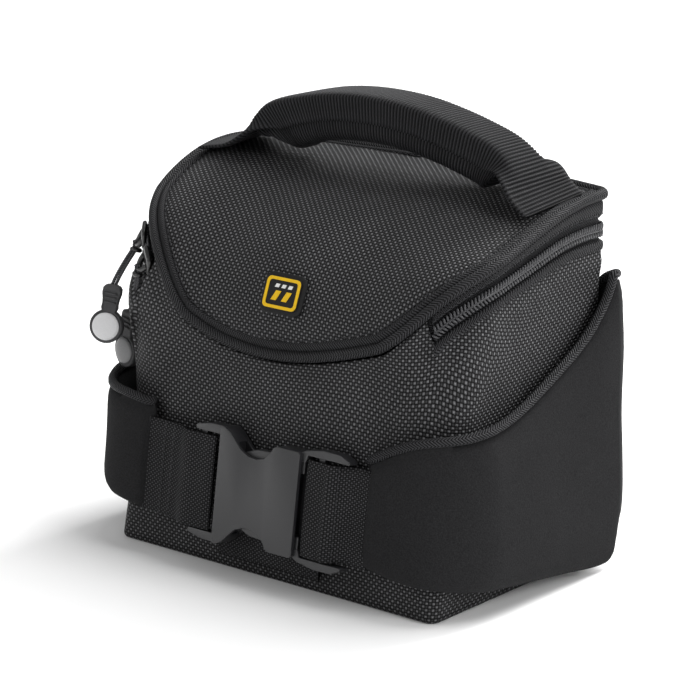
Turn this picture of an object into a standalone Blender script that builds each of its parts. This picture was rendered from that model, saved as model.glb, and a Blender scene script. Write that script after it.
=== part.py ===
"""A small handlebar bag with a D-shaped zipped lid, a carrying handle and a waist belt buckled round its front.

Metres, +Z up. The front of the bag faces -Y, and the origin is the middle of its flat base.
"""

import math

import bmesh
import bpy
from mathutils import Matrix, Vector

# Bag body
BASE_WIDTH = 0.160
BASE_DEPTH = 0.100
SIDE_FLARE = 0.0035
FRONT_LEAN = 0.0065
SHOULDER_HEIGHT = 0.125
BASE_CORNER = 0.0045
SHOULDER_CORNER_WIDTH = 0.042
SHOULDER_CORNER_DEPTH = 0.030
BACK_CORNER = 0.004
BODY_WALL = 0.0022
BASE_THICKNESS = 0.003
BASE_EDGE = 0.0020
GAP = 0.0003
# The cloth's set: the left side bulges, and the lid stands higher there
LEFT_RISE = 0.0060
LEFT_BULGE = 0.0065
LEFT_ACROSS = (0.030, 0.045)
RISE_FROM = (0.095, 0.040)
BULGE_FROM = (0.030, 0.075)
LEFT_MIDDLE = -0.010
LEFT_REACH = 0.062

# Lid: its edge dips to a tongue at the front and rises to the back
TONGUE_HEIGHT = 0.087
BACK_HEIGHT = 0.1465
BACK_CROWN = 0.003
LID_THICKNESS = 0.0024
PIPING_RADIUS = 0.0021
# The bend of the lid's middle line, as shares of its run back and up
LID_MIDDLE = ((0.004, 0.520), (0.182, 0.984))
LID_SHY = (0.029, 0.012)
# How far along the lid's middle line each share of its half edge reaches
LID_ROWS = (
    (0, 0), (0.08, 0.06), (0.16, 0.16), (0.24, 0.28), (0.32, 0.42),
    (0.39, 0.58), (0.476, 0.755), (0.56, 0.86), (0.65, 0.92), (1, 1),
)

# Zip, between the lid's side band and the body's rim
ZIP_START = 12
ZIP_DROP_FRONT = 0.0095
ZIP_DROP_BACK = 0.0138
COIL_HALF = 0.0027
COIL_FRONT = 0.0002
COIL_THICKNESS = 0.0019
TAPE_SHOWING = 0.0021
TAPE_THICKNESS = 0.0008
TAPE_TUCK = 0.0030

# Zip sliders and pulls, both parked at the left end of the zip
SLIDER_SHARES = (0.368, 0.322)
SLIDER_LENGTH = 0.0095
SLIDER_HALF = 0.0043
SLIDER_THICKNESS = 0.0026
BAIL_REACH = 0.0046
BAIL_WIRE = 0.0009
CORD_RADIUS = 0.0013
CORD_STEPS = 8
CORD_ENTERS = 0.006
TAG_HALF = 0.0068
TAG_NECK_HALF = 0.0038
TAG_NECK = 0.0169
TAG_HALF_THICKNESS = 0.0017
DISC_RADIUS = 0.0056
DISC_THICKNESS = 0.0007
PULL_DROP = 0.0156
# Each pull: the top of its neck as shares of its drop from the slider's bail, the way its neck
# points, the way its face looks, and the way its cord leaves the bail, as shares of the drop
PULL_1 = ((0.233, -0.858, -1), (0.088, 0.171, 0.981), (0.45, -0.88, 0.10), (-0.128, -0.064, -0.256))
PULL_2 = ((-0.102, 0.263, -1), (0.105, 0.023, 0.994), (-0.28, -0.96, 0.05), (0, 0.209, -0.366))

# Carrying handle
HANDLE_Y = 0.0215
HANDLE_REACH = BASE_WIDTH / 2 - 0.0005
HANDLE_FOOT = BACK_HEIGHT - 0.0002
HANDLE_RISE = 0.0329
HANDLE_HALF = 0.0160
HANDLE_THICKNESS = 0.0018
HANDLE_TILT = 0.17
GRIP_HALF = 0.0105
GRIP_SIDE = 0.0090
PAD_DROP = 0.0062
PAD_THICKNESS = 0.0080
# Its path across the lid, as shares of its reach and rise, and how far it is folded into a grip
HANDLE_PATH = (
    (-1, 0, 0), (-0.931, 0.033, 0), (-0.855, 0.088, 0), (-0.786, 0.219, 0.1),
    (-0.723, 0.447, 0.5), (-0.642, 0.660, 0.9), (-0.528, 0.812, 1), (-0.377, 0.927, 1),
    (-0.189, 0.988, 1), (0.013, 1, 1), (0.214, 0.964, 1), (0.403, 0.881, 1),
    (0.566, 0.781, 1), (0.704, 0.672, 0.9), (0.799, 0.538, 0.6), (0.862, 0.362, 0.2),
    (0.918, 0.161, 0), (1, 0, 0),
)

# Waist belt: foam wings, webbing and a side-release buckle
WEBBING = 0.038
BELT_HALF = BASE_WIDTH / 2 + SIDE_FLARE
BELT_FRONT = BASE_DEPTH / 2 - 0.0032
BELT_CORNER = 0.022
BELT_STAND_OFF = 0.0010
SIDE_SPLAY = 0.065
SIDE_SPLAY_TOP = 0.100
FRONT_SPLAY = 0.150
FRONT_SPLAY_TOP = 0.060
WING_THICKNESS = 0.0042
WING_STOP = 1.3 * WEBBING
WING_END = BASE_DEPTH / 2 + BELT_FRONT + BELT_HALF + BELT_CORNER * (math.pi / 2 - 2) - WING_STOP
LEFT_SHORTER = 0.0085
WING_HEIGHT = BACK_HEIGHT - 0.0385
# The wings' edges and how the left one sags and stands off, as shares of WING_END and WING_HEIGHT
WING_TOP = (
    (0, 1), (0.033, 0.935), (0.148, 0.851), (0.305, 0.762), (0.510, 0.672),
    (0.683, 0.637), (0.823, 0.616), (0.922, 0.565), (1, 0.519),
)
WING_BOTTOM = (
    (0, 0.139), (0.025, 0.056), (0.082, 0.028), (0.288, 0.054), (0.477, 0.081),
    (0.683, 0.111), (0.798, 0.133), (0.905, 0.159), (1, 0.171),
)
LEFT_DROP = ((0, 0), (0.329, 0.019), (0.617, 0.069), (0.782, 0.069), (1, 0))
LEFT_OUT = ((0, 0.009), (0.165, 0.030), (0.412, 0.048), (0.617, 0.048), (0.782, 0.032), (0.930, 0))
LEFT_LIFT = ((0, 0), (0.412, 0.009), (0.658, 0.080), (0.823, 0.045), (0.930, 0))
BINDING_RADIUS = 0.0019
STRAP_BOTTOM = 0.0178
STRAP_HEIGHT = WEBBING - 0.0014
STRAP_THICKNESS = 0.0014
BACK_STRAP = (0.0300, 0.0300 + WEBBING)
TAIL_HEIGHTS = (0.0068, 0.0435)

BUCKLE_AT = (0.0010, -BELT_FRONT - 0.0080, 0.0360)
BUCKLE_HALF_THICKNESS = 0.00425
ARM_HALF_THICKNESS = 0.0026
CAVITY_DEPTH = 0.00255
# The buckle's outlines as shares of the webbing's width, in which every side-release buckle is made
BUCKLE_OUTLINE = (
    (-0.882, 0.511), (-0.895, 0.545), (-0.868, 0.563), (-0.697, 0.597), (-0.474, 0.600),
    (-0.395, 0.558), (-0.237, 0.408), (-0.132, 0.363), (-0.026, 0.355), (0.079, 0.384),
    (0.147, 0.453), (0.184, 0.516), (0.224, 0.534), (0.500, 0.534), (0.526, 0.508),
)
INSERT_OUTLINE = (
    (0.539, 0.529), (0.566, 0.563), (0.789, 0.600), (1.000, 0.595), (1.118, 0.545),
    (1.118, 0.511), (0.595, 0.511), (0.571, 0.474), (0.539, 0.474),
)
PRONG_OUTLINE = (
    (0.574, 0.316), (0.574, 0.453), (0.316, 0.458), (0.184, 0.463), (0.079, 0.453),
    (-0.079, 0.442), (-0.211, 0.395), (-0.276, 0.337), (-0.211, 0.311), (0, 0.326),
)
SLOT_LEFT = (-0.758, -0.534)
BAR_LEFT = -0.837
CAVITY = (-0.329, 0.474)

# Rubber badge on the lid and a plain plate on the back, where a holder is fastened
BADGE_SHARE = 0.255
BADGE_HALF = (0.0102, 0.0078)
BADGE_THICKNESS = 0.0012
BADGE_CORNER = 0.0034
BADGE_FACE_INSET = 0.0017
BADGE_FACE_THICKNESS = 0.0006
PLATE_HALF = (0.035, 0.0275)
PLATE_THICKNESS = 0.0045
PLATE_CENTRE = 0.085

# Each look: the start of the names it covers, its own name, colour, roughness and metallic value
LOOKS = (
    ("bag_body", "ballistic_nylon", (0.030, 0.030, 0.032), 0.75, 0.0),
    ("lid_piping", "piping_tape", (0.033, 0.033, 0.035), 0.70, 0.0),
    ("lid_side_band", "piping_tape", (0.033, 0.033, 0.035), 0.70, 0.0),
    ("lid", "ballistic_nylon", (0.030, 0.030, 0.032), 0.75, 0.0),
    ("zip_coil", "zip_teeth", (0.045, 0.045, 0.047), 0.40, 0.0),
    ("zip_tape", "piping_tape", (0.033, 0.033, 0.035), 0.70, 0.0),
    ("zip_slider", "black_metal", (0.020, 0.020, 0.022), 0.35, 1.0),
    ("pull_cord", "grey_cord", (0.100, 0.100, 0.104), 0.60, 0.0),
    ("pull_tag", "grey_rubber", (0.090, 0.090, 0.092), 0.60, 0.0),
    ("pull_disc", "reflective_disc", (0.620, 0.620, 0.620), 0.45, 0.0),
    ("handle", "ribbed_webbing", (0.040, 0.040, 0.042), 0.75, 0.0),
    ("wing_binding", "piping_tape", (0.033, 0.033, 0.035), 0.70, 0.0),
    ("wing", "foam_cloth", (0.050, 0.050, 0.052), 0.85, 0.0),
    ("strap", "belt_webbing", (0.038, 0.038, 0.040), 0.70, 0.0),
    ("belt", "belt_webbing", (0.038, 0.038, 0.040), 0.70, 0.0),
    ("badge_face", "badge_print", (0.700, 0.480, 0.020), 0.55, 0.0),
    ("badge", "black_rubber", (0.025, 0.025, 0.025), 0.60, 0.0),
    ("mount", "black_plastic", (0.025, 0.025, 0.026), 0.55, 0.0),
    ("", "buckle_plastic", (0.060, 0.060, 0.062), 0.42, 0.0),
)

# How finely the shapes are cut into faces
FRONT_STEPS = 7
CORNER_STEPS = 9
SIDE_STEPS = 7
BACK_CORNER_STEPS = 3
BACK_STEPS = 4
BACK_INDEX = FRONT_STEPS + CORNER_STEPS + SIDE_STEPS
LAST = BACK_INDEX + BACK_CORNER_STEPS + BACK_STEPS
BODY_ROWS = 7
LID_STEPS = 5
WING_STEPS = 24


def clear_scene():
    for old in list(bpy.data.objects):
        bpy.data.objects.remove(old, do_unlink=True)


def settle(point):
    """Where the soft bag holds a point: its lid stands a little higher on the left."""
    x, y, z = point
    weight = max(1 - ((y - LEFT_MIDDLE) / LEFT_REACH) ** 2, 0)
    weight *= ease(min(max((-x - LEFT_ACROSS[0]) / LEFT_ACROSS[1], 0), 1))
    rise = weight * ease(min(max((z - RISE_FROM[0]) / RISE_FROM[1], 0), 1))
    bulge = weight * ease(min(max((z - BULGE_FROM[0]) / BULGE_FROM[1], 0), 1))
    return Vector((x - LEFT_BULGE * bulge, y, z + LEFT_RISE * rise))


def finish(name, work, soft):
    """The object of a finished shape, with its normals out and its origin in its middle."""
    bmesh.ops.recalc_face_normals(work, faces=work.faces)
    if soft:
        for corner in work.verts:
            corner.co = settle(corner.co)
    low = Vector([min(corner.co[axis] for corner in work.verts) for axis in range(3)])
    high = Vector([max(corner.co[axis] for corner in work.verts) for axis in range(3)])
    middle = (low + high) / 2
    bmesh.ops.translate(work, verts=work.verts, vec=-middle)
    mesh = bpy.data.meshes.new(name)
    work.to_mesh(mesh)
    work.free()
    mesh.shade_smooth()
    mesh.set_sharp_from_angle(angle=math.radians(40))
    thing = bpy.data.objects.new(name, mesh)
    thing.location = middle
    bpy.context.scene.collection.objects.link(thing)
    dress(thing)
    return thing


def dress(thing):
    """Gives an object the material that its name calls for."""
    look = next((look for look in LOOKS if thing.name.startswith(look[0])), LOOKS[-1])
    word, colour, roughness, metallic = look[1:]
    material = bpy.data.materials.get(word)
    if material is None:
        material = bpy.data.materials.new(word)
        material.use_nodes = True
        surface = material.node_tree.nodes["Principled BSDF"]
        surface.inputs["Base Color"].default_value = (*colour, 1)
        surface.inputs["Roughness"].default_value = roughness
        surface.inputs["Metallic"].default_value = metallic
    thing.data.materials.append(material)


def make(name, points, faces, soft=True):
    """An object from points and faces; a soft one follows the cloth's set."""
    work = bmesh.new()
    corners = [work.verts.new(point) for point in points]
    for face in faces:
        work.faces.new([corners[index] for index in face])
    return finish(name, work, soft)


def loft(name, rings, closed=False, soft=True):
    """A solid through equal rings of points, capped at both ends or joined end to end."""
    size = len(rings[0])
    points = [point for ring in rings for point in ring]
    faces = []
    count = len(rings)
    for row in range(count if closed else count - 1):
        here = row * size
        there = (row + 1) % count * size
        for k in range(size):
            nxt = (k + 1) % size
            faces.append((here + k, here + nxt, there + nxt, there + k))
    if not closed:
        faces.append(tuple(range(size)))
        faces.append(tuple(range((count - 1) * size, count * size)))
    return make(name, points, faces, soft)


def ease(share):
    return share * share * (3 - 2 * share)


def between(table, at):
    """The value of a table of (position, value) pairs, in straight lines."""
    for (a, first), (b, second) in zip(table, table[1:]):
        if at <= b:
            return first + (second - first) * (max(at, a) - a) / (b - a)
    return table[-1][1]


def half_outline(height, inset=0.0):
    """The right half of the bag's plan at a height, from the middle of the front to the middle of the back."""
    rise = min(max(height / SHOULDER_HEIGHT, 0), 1)
    half = BASE_WIDTH / 2 + SIDE_FLARE * min(max(height / BACK_HEIGHT, 0), 1) - inset
    front = inset - BASE_DEPTH / 2 + FRONT_LEAN * min(max(height / TONGUE_HEIGHT, 0), 1)
    back = BASE_DEPTH / 2 - inset
    across = BASE_CORNER + (SHOULDER_CORNER_WIDTH - BASE_CORNER) * rise - inset
    along = BASE_CORNER + (SHOULDER_CORNER_DEPTH - BASE_CORNER) * rise - inset
    turn = BACK_CORNER - inset
    points = [((half - across) * k / FRONT_STEPS, front) for k in range(FRONT_STEPS)]
    for k in range(CORNER_STEPS):
        angle = math.pi / 2 * k / CORNER_STEPS
        points.append((half - across + across * math.sin(angle), front + along - along * math.cos(angle)))
    for k in range(SIDE_STEPS):
        start = front + along
        points.append((half, start + (back - turn - start) * k / SIDE_STEPS))
    for k in range(BACK_CORNER_STEPS):
        angle = math.pi / 2 * k / BACK_CORNER_STEPS
        points.append((half - turn + turn * math.cos(angle), back - turn + turn * math.sin(angle)))
    for k in range(BACK_STEPS + 1):
        points.append(((half - turn) * (1 - k / BACK_STEPS), back))
    return points


def shares():
    """How far round the half outline each of its points is, as a length."""
    points = half_outline(SHOULDER_HEIGHT)
    reach = [0.0]
    for a, b in zip(points, points[1:]):
        reach.append(reach[-1] + math.dist(a, b))
    return reach


def edge_height(k):
    """Height of the lid's edge at a point of the half outline."""
    reach = shares()
    if k > BACK_INDEX:
        x = half_outline(BACK_HEIGHT)[k][0] / BELT_HALF
        return BACK_HEIGHT + BACK_CROWN * (1 - x * x)
    u = reach[k] / reach[BACK_INDEX]
    smooth = (ease(u) + u * u * u * (10 - 15 * u + 6 * u * u)) / 2
    return TONGUE_HEIGHT + (BACK_HEIGHT - TONGUE_HEIGHT) * smooth


def zip_drop(k):
    """How far under the lid's edge the middle of the zip runs."""
    reach = shares()
    u = (reach[k] - reach[ZIP_START]) / (reach[BACK_INDEX] - reach[ZIP_START])
    return ZIP_DROP_FRONT + (ZIP_DROP_BACK - ZIP_DROP_FRONT) * min(max(u, 0), 1)


def rim_height(k):
    """Height of the body's own top edge."""
    if k < ZIP_START:
        return edge_height(k) - PIPING_RADIUS - 3 * GAP
    return edge_height(k) - zip_drop(k) - COIL_HALF - TAPE_SHOWING - 0.0006


def ring_at(heights, inset):
    """A ring round the bag from one height for each point of its half outline."""
    right = []
    for k in range(LAST + 1):
        x, y = half_outline(heights[k], inset)[k]
        right.append((x, y, heights[k]))
    return right + [(-x, y, z) for x, y, z in right[-2:0:-1]]


def build_body():
    rims = [rim_height(k) for k in range(LAST + 1)]
    rings = [ring_at([0.0] * (LAST + 1), BASE_EDGE)]
    for row in range(BODY_ROWS + 1):
        share = row / BODY_ROWS
        rings.append(ring_at([BASE_EDGE + (top - BASE_EDGE) * share for top in rims], 0.0))
    for row in range(BODY_ROWS + 1):
        share = 1 - row / BODY_ROWS
        floor = BASE_THICKNESS
        rings.append(ring_at([floor + (top - floor) * share for top in rims], BODY_WALL))
    return loft("bag_body", rings)


def lid_middle(share):
    """A point on the lid's middle line, from the tongue to the back."""
    start = (-BASE_DEPTH / 2 + FRONT_LEAN, TONGUE_HEIGHT)
    end = (BASE_DEPTH / 2, BACK_HEIGHT + BACK_CROWN)
    weights = (
        (1 - share) ** 3, 3 * share * (1 - share) ** 2, 3 * share * share * (1 - share), share ** 3,
    )
    bends = [tuple(a + (b - a) * part for a, b, part in zip(start, end, bend)) for bend in LID_MIDDLE]
    corners = (start, *bends, end)
    return tuple(sum(w * c[axis] for w, c in zip(weights, corners)) for axis in (0, 1))


def lid_row(k, inset):
    """Points across the lid, from its right edge to its left, in one row."""
    reach = shares()
    height = edge_height(k)
    x, y = half_outline(height)[k]
    share = between(LID_ROWS, reach[k] / reach[-1])
    middle = Vector((0, *lid_middle(LID_SHY[0] + (1 - LID_SHY[0] - LID_SHY[1]) * share)))
    if x < 1e-6:
        return [middle]
    edges = [Vector((*half_outline(edge_height(n))[n], edge_height(n))) for n in (k - 1, k + 1)]
    along = (edges[1] - edges[0]).normalized()
    edge = Vector((x, y, height))
    inward = middle - edge
    inward = (inward - along * inward.dot(along)).normalized()
    edge += inward * inset
    row = []
    for step in range(2 * LID_STEPS + 1):
        side = 1 - step / LID_STEPS
        point = middle.lerp(edge, side * side)
        row.append((edge.x * side, point.y, point.z))
    return row


def build_lid():
    rows = [lid_row(k, PIPING_RADIUS + 0.0006) for k in range(LAST + 1)]
    top = bmesh.new()
    grid = [[top.verts.new(point) for point in row] for row in rows]
    for a, b in zip(grid, grid[1:]):
        for k in range(max(len(a), len(b)) - 1):
            corners = [a[min(k, len(a) - 1)], a[min(k + 1, len(a) - 1)]]
            corners += [b[min(k + 1, len(b) - 1)], b[min(k, len(b) - 1)]]
            unique = list(dict.fromkeys(corners))
            top.faces.new(unique)
    bmesh.ops.recalc_face_normals(top, faces=top.faces)
    top.normal_update()
    if grid[len(grid) // 2][LID_STEPS].normal.z < 0:
        bmesh.ops.reverse_faces(top, faces=top.faces)
        top.normal_update()
    edges = [edge for edge in top.edges if edge.is_boundary]
    under = {corner: top.verts.new(corner.co - corner.normal * LID_THICKNESS) for corner in list(top.verts)}
    for face in list(top.faces):
        top.faces.new([under[corner] for corner in reversed(face.verts[:])])
    for edge in edges:
        a, b = edge.verts
        top.faces.new((a, b, under[b], under[a]))
    return finish("lid", top, True)


def edge_path():
    """The lid's edge, all the way round from the middle of the front."""
    right = []
    for k in range(LAST + 1):
        x, y = half_outline(edge_height(k))[k]
        right.append(Vector((x, y, edge_height(k))))
    return right + [Vector((-p.x, p.y, p.z)) for p in right[-2:0:-1]]


def tube(name, path, radius, closed=False, sides=8, squash=1.0):
    """A round bar along a path, its rings kept square to the path."""
    rings = []
    count = len(path)
    for k, point in enumerate(path):
        before = path[k - 1] if closed or k else path[k]
        after = path[(k + 1) % count] if closed or k < count - 1 else path[k]
        forward = (after - before).normalized()
        side = forward.cross(Vector((0, 0, 1)))
        side = side.normalized() if side.length > 0.2 else Vector((1, 0, 0))
        up = side.cross(forward).normalized()
        ring = []
        for turn in range(sides):
            angle = 2 * math.pi * (turn + 0.5) / sides
            ring.append(point + side * (radius * math.cos(angle)) + up * (radius * squash * math.sin(angle)))
        rings.append(ring)
    return loft(name, rings, closed)


def band(name, first, insets, top, bottom):
    """A ribbon that follows the bag's outline round the back, from point first of its right half."""
    sections = []
    for k in range(first, LAST + 1):
        section = []
        for height, inset in ((top(k), insets[0]), (top(k), insets[1]), (bottom(k), insets[1]), (bottom(k), insets[0])):
            x, y = half_outline(height, inset)[k]
            section.append((x, y, height))
        sections.append(section)
    left = [[(-x, y, z) for x, y, z in section] for section in sections[-2::-1]]
    return loft(name, sections + left)


def coil_middle(k):
    return edge_height(k) - zip_drop(k)


def build_zip():
    band(
        "lid_side_band", ZIP_START, (0.0, BODY_WALL),
        lambda k: edge_height(k) - PIPING_RADIUS - 3 * GAP,
        lambda k: coil_middle(k) + COIL_HALF + TAPE_SHOWING,
    )
    tape = (BODY_WALL + GAP, BODY_WALL + GAP + TAPE_THICKNESS)
    band(
        "zip_tape_upper", ZIP_START, tape,
        lambda k: min(coil_middle(k) + COIL_HALF + TAPE_SHOWING + TAPE_TUCK, edge_height(k) - 0.0034),
        lambda k: coil_middle(k) + 0.0003,
    )
    band(
        "zip_tape_lower", ZIP_START, tape,
        lambda k: coil_middle(k) - 0.0003,
        lambda k: rim_height(k) - TAPE_TUCK,
    )
    band(
        "zip_coil", ZIP_START, (COIL_FRONT, COIL_FRONT + COIL_THICKNESS),
        lambda k: coil_middle(k) + COIL_HALF,
        lambda k: coil_middle(k) - COIL_HALF,
    )


def coil_frame(share):
    """Where the zip runs on the left side at a share of the half outline, and its outward, along and up ways."""
    reach = shares()
    target = share * reach[-1]
    k = max(index for index in range(LAST) if reach[index] <= target)
    part = (target - reach[k]) / (reach[k + 1] - reach[k])
    ends = []
    for index in (k, k + 1):
        x, y = half_outline(coil_middle(index))[index]
        ends.append(Vector((-x, y, coil_middle(index))))
    centre = ends[0].lerp(ends[1], part)
    along = (ends[1] - ends[0]).normalized()
    out = along.cross(Vector((0, 0, 1))).normalized()
    if out.x > 0:
        out = -out
    up = out.cross(along).normalized()
    if up.z < 0:
        up = -up
    return centre, out, along, up


def union(thing, other):
    join = thing.modifiers.new("join", "BOOLEAN")
    join.operation = "UNION"
    join.solver = "EXACT"
    join.object = other
    other.hide_render = True
    other.display_type = "WIRE"


def cut(thing, other):
    take = thing.modifiers.new("cut", "BOOLEAN")
    take.operation = "DIFFERENCE"
    take.solver = "EXACT"
    take.object = other
    other.hide_render = True
    other.display_type = "WIRE"


def build_slider(number):
    """A slider in front of the coil, with the bail that its cord hangs from."""
    centre, out, along, up = coil_frame(SLIDER_SHARES[number - 1])
    rings = []
    for depth, grow in ((GAP, 0.85), (0.0010, 1.0), (SLIDER_THICKNESS - 0.0008, 1.0), (SLIDER_THICKNESS, 0.8)):
        ring = []
        for turn in range(12):
            angle = 2 * math.pi * (turn + 0.5) / 12
            a = math.cos(angle) * SLIDER_LENGTH / 2 * grow
            b = math.sin(angle) * SLIDER_HALF * grow
            ring.append(centre + out * depth + along * a + up * b)
        rings.append(ring)
    slider = loft(f"zip_slider_{number}", rings)
    path = []
    for turn in range(9):
        angle = math.pi * turn / 8
        reach = SLIDER_THICKNESS - 0.0006 + BAIL_REACH * math.sin(angle)
        path.append(centre + out * reach + along * (0.0032 * math.cos(angle)))
    union(slider, tube(f"bail_{number}", path, BAIL_WIRE, sides=6))
    return settle(centre + out * (SLIDER_THICKNESS + BAIL_REACH))


def pull_drop(number, hook, up):
    """How far under its bail a tag's neck hangs: the second tag hangs just clear of the left wing."""
    if number == 1:
        return PULL_DROP
    top = wing_heights(BASE_DEPTH / 2 - hook.y, True)[0] + 2 * BINDING_RADIUS
    return hook.z - top - TAG_HALF - TAG_NECK * up.z - GAP


def build_pull(number, hook):
    """A doubled cord and the rubber tag on its end."""
    place, up, face, leaves = (Vector(way) for way in (PULL_1, PULL_2)[number - 1])
    up.normalize()
    drop = pull_drop(number, hook, up)
    neck = hook + place * drop
    head = neck - up * TAG_NECK
    out = (face - up * face.dot(up)).normalized()
    side = up.cross(out).normalized()
    outline = []
    for turn in range(13):
        angle = math.radians(-240 + 300 * turn / 12)
        outline.append((TAG_HALF * math.cos(angle), TAG_HALF * math.sin(angle)))
    outline = outline[::-1]
    waist = TAG_HALF * 1.25
    outline += [(-TAG_NECK_HALF, waist), (-TAG_NECK_HALF, TAG_NECK), (TAG_NECK_HALF, TAG_NECK), (TAG_NECK_HALF, waist)]
    rings = []
    for depth in (-TAG_HALF_THICKNESS, TAG_HALF_THICKNESS):
        rings.append([head + side * x + up * y + out * depth for x, y in outline])
    loft(f"pull_tag_{number}", rings, soft=False)
    rings = []
    for depth in (TAG_HALF_THICKNESS + GAP, TAG_HALF_THICKNESS + GAP + DISC_THICKNESS):
        ring = []
        for turn in range(16):
            angle = 2 * math.pi * turn / 16
            across = side * math.cos(angle) + up * math.sin(angle)
            ring.append(head + across * DISC_RADIUS + out * depth)
        rings.append(ring)
    loft(f"pull_disc_{number}", rings, soft=False)
    start = hook + Vector((0, 0, -CORD_RADIUS - BAIL_WIRE - GAP))
    end = neck + up * (2 * GAP)
    points = []
    for step in range(CORD_STEPS + 1):
        share = step / CORD_STEPS
        away = start + leaves * (drop * share)
        back = end + up * (CORD_ENTERS * (1 - share))
        points.append(away.lerp(back, ease(share)))
    curve = bpy.data.curves.new(f"pull_cord_{number}", "CURVE")
    curve.dimensions = "3D"
    curve.bevel_depth = CORD_RADIUS
    curve.bevel_resolution = 2
    curve.use_fill_caps = True
    spline = curve.splines.new("POLY")
    spline.points.add(len(points) - 1)
    for place, point in zip(spline.points, points):
        place.co = (*point, 1)
    cord = bpy.data.objects.new(f"pull_cord_{number}", curve)
    bpy.context.scene.collection.objects.link(cord)
    dress(cord)


def handle_path():
    """Each point of the handle's path, its upward way, and how far it is folded there."""
    path = [Vector((x * HANDLE_REACH, HANDLE_Y, HANDLE_FOOT + z * HANDLE_RISE)) for x, z, fold in HANDLE_PATH]
    found = []
    for k, point in enumerate(path):
        along = path[min(k + 1, len(path) - 1)] - path[max(k - 1, 0)]
        found.append((point, Vector((-along.z, 0, along.x)).normalized(), HANDLE_PATH[k][2]))
    return found


def handle_section(fold, half, side, thickness):
    """Points of the handle's section, as (across, up) pairs: flat, or folded down at both edges."""
    top = []
    for k in range(9):
        across = -1 + k / 4
        flat = (across * HANDLE_HALF, 0.0)
        arc = math.copysign(min(abs(across) * 1.6, 1), across)
        down = max(abs(across) - 0.6, 0) / 0.4
        tuck = math.copysign(0.0006 * down, arc) if across else 0.0
        bent = (arc * half - tuck, -0.0018 * arc * arc - side * down)
        tilt = across * HANDLE_HALF * HANDLE_TILT * (1 - fold)
        top.append((flat[0] + (bent[0] - flat[0]) * fold, tilt + (bent[1] - flat[1]) * fold))
    under = []
    for k, (a, b) in enumerate(top):
        before = top[max(k - 1, 0)]
        after = top[min(k + 1, 8)]
        along = Vector((after[0] - before[0], after[1] - before[1])).normalized()
        under.append((a + along.y * thickness, b - along.x * thickness))
    return top + under[::-1]


def build_handle():
    rings = []
    for point, up, fold in handle_path():
        section = handle_section(ease(fold), GRIP_HALF, GRIP_SIDE, HANDLE_THICKNESS)
        rings.append([point + Vector((0, a, 0)) + up * b for a, b in section])
    loft("handle_webbing", rings)
    half = GRIP_HALF - HANDLE_THICKNESS - 0.0009
    drop = HANDLE_THICKNESS + 0.0024
    deep = PAD_DROP + PAD_THICKNESS - drop
    section = ((-1, -0.16), (-0.6, 0), (0.6, 0), (1, -0.16), (1, -0.8), (0.6, -1), (-0.6, -1), (-1, -0.8))
    rings = []
    for point, up, fold in handle_path():
        if fold >= 0.9:
            rings.append([point + Vector((0, a * half, 0)) + up * (b * deep - drop) for a, b in section])
    loft("handle_grip", rings)


def belt_point(reach, height, out):
    """A point of the belt: how far round it is from the back, its height, and its distance from the inner face."""
    side = BASE_DEPTH / 2 + BELT_FRONT - BELT_CORNER
    arc = BELT_CORNER * math.pi / 2
    if reach <= side:
        at = Vector((BELT_HALF, BASE_DEPTH / 2 - reach))
        way = Vector((1, 0))
    elif reach <= side + arc:
        angle = (reach - side) / BELT_CORNER
        way = Vector((math.cos(angle), -math.sin(angle)))
        at = Vector((BELT_HALF - BELT_CORNER, BELT_CORNER - BELT_FRONT)) + way * BELT_CORNER
    else:
        at = Vector((BELT_HALF - BELT_CORNER - (reach - side - arc), -BELT_FRONT))
        way = Vector((0, -1))
    splay = way.x ** 2 * SIDE_SPLAY * (SIDE_SPLAY_TOP - height)
    splay += way.y ** 2 * FRONT_SPLAY * max(FRONT_SPLAY_TOP - height, 0)
    at = at + way * (BELT_STAND_OFF + max(splay, 0) + out)
    return Vector((at.x, at.y, height))


def wing_heights(reach, left):
    share = reach / WING_END
    top = between(WING_TOP, share)
    bottom = between(WING_BOTTOM, share)
    if left:
        top -= between(LEFT_DROP, share)
        bottom += between(LEFT_LIFT, share)
    return top * WING_HEIGHT, bottom * WING_HEIGHT


def wing_out(reach, left):
    return between(LEFT_OUT, reach / WING_END) * WING_HEIGHT if left else 0.0


def mirror(point, left):
    return Vector((-point.x, point.y, point.z)) if left else point


def build_wing(left):
    name = "left" if left else "right"
    end = WING_END - (LEFT_SHORTER if left else 0.0)
    rings = []
    edge = []
    for k in range(WING_STEPS + 1):
        share = k / WING_STEPS
        reach = end * (share if share > 0.1 else share * share * 10)
        top, bottom = wing_heights(reach, left)
        section = []
        for part in (0, 0.33, 0.66, 1):
            height = bottom + (top - bottom) * part
            section.append(mirror(belt_point(reach, height, wing_out(reach, left)), left))
        for part in (1, 0.66, 0.33, 0):
            height = bottom + (top - bottom) * part
            section.append(mirror(belt_point(reach, height, wing_out(reach, left) + WING_THICKNESS), left))
        rings.append(section)
        slope = (wing_heights(reach + 0.001, left)[0] - wing_heights(max(reach - 0.001, 0), left)[0]) / 0.002
        rise = (BINDING_RADIUS + GAP) * math.hypot(1, slope) + GAP
        out = wing_out(reach, left) + WING_THICKNESS / 2
        edge.append(mirror(belt_point(reach, top + rise, out), left))
    loft(f"wing_{name}", rings)
    tube(f"wing_binding_{name}", edge[1:], BINDING_RADIUS, sides=8, squash=0.9)


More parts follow.
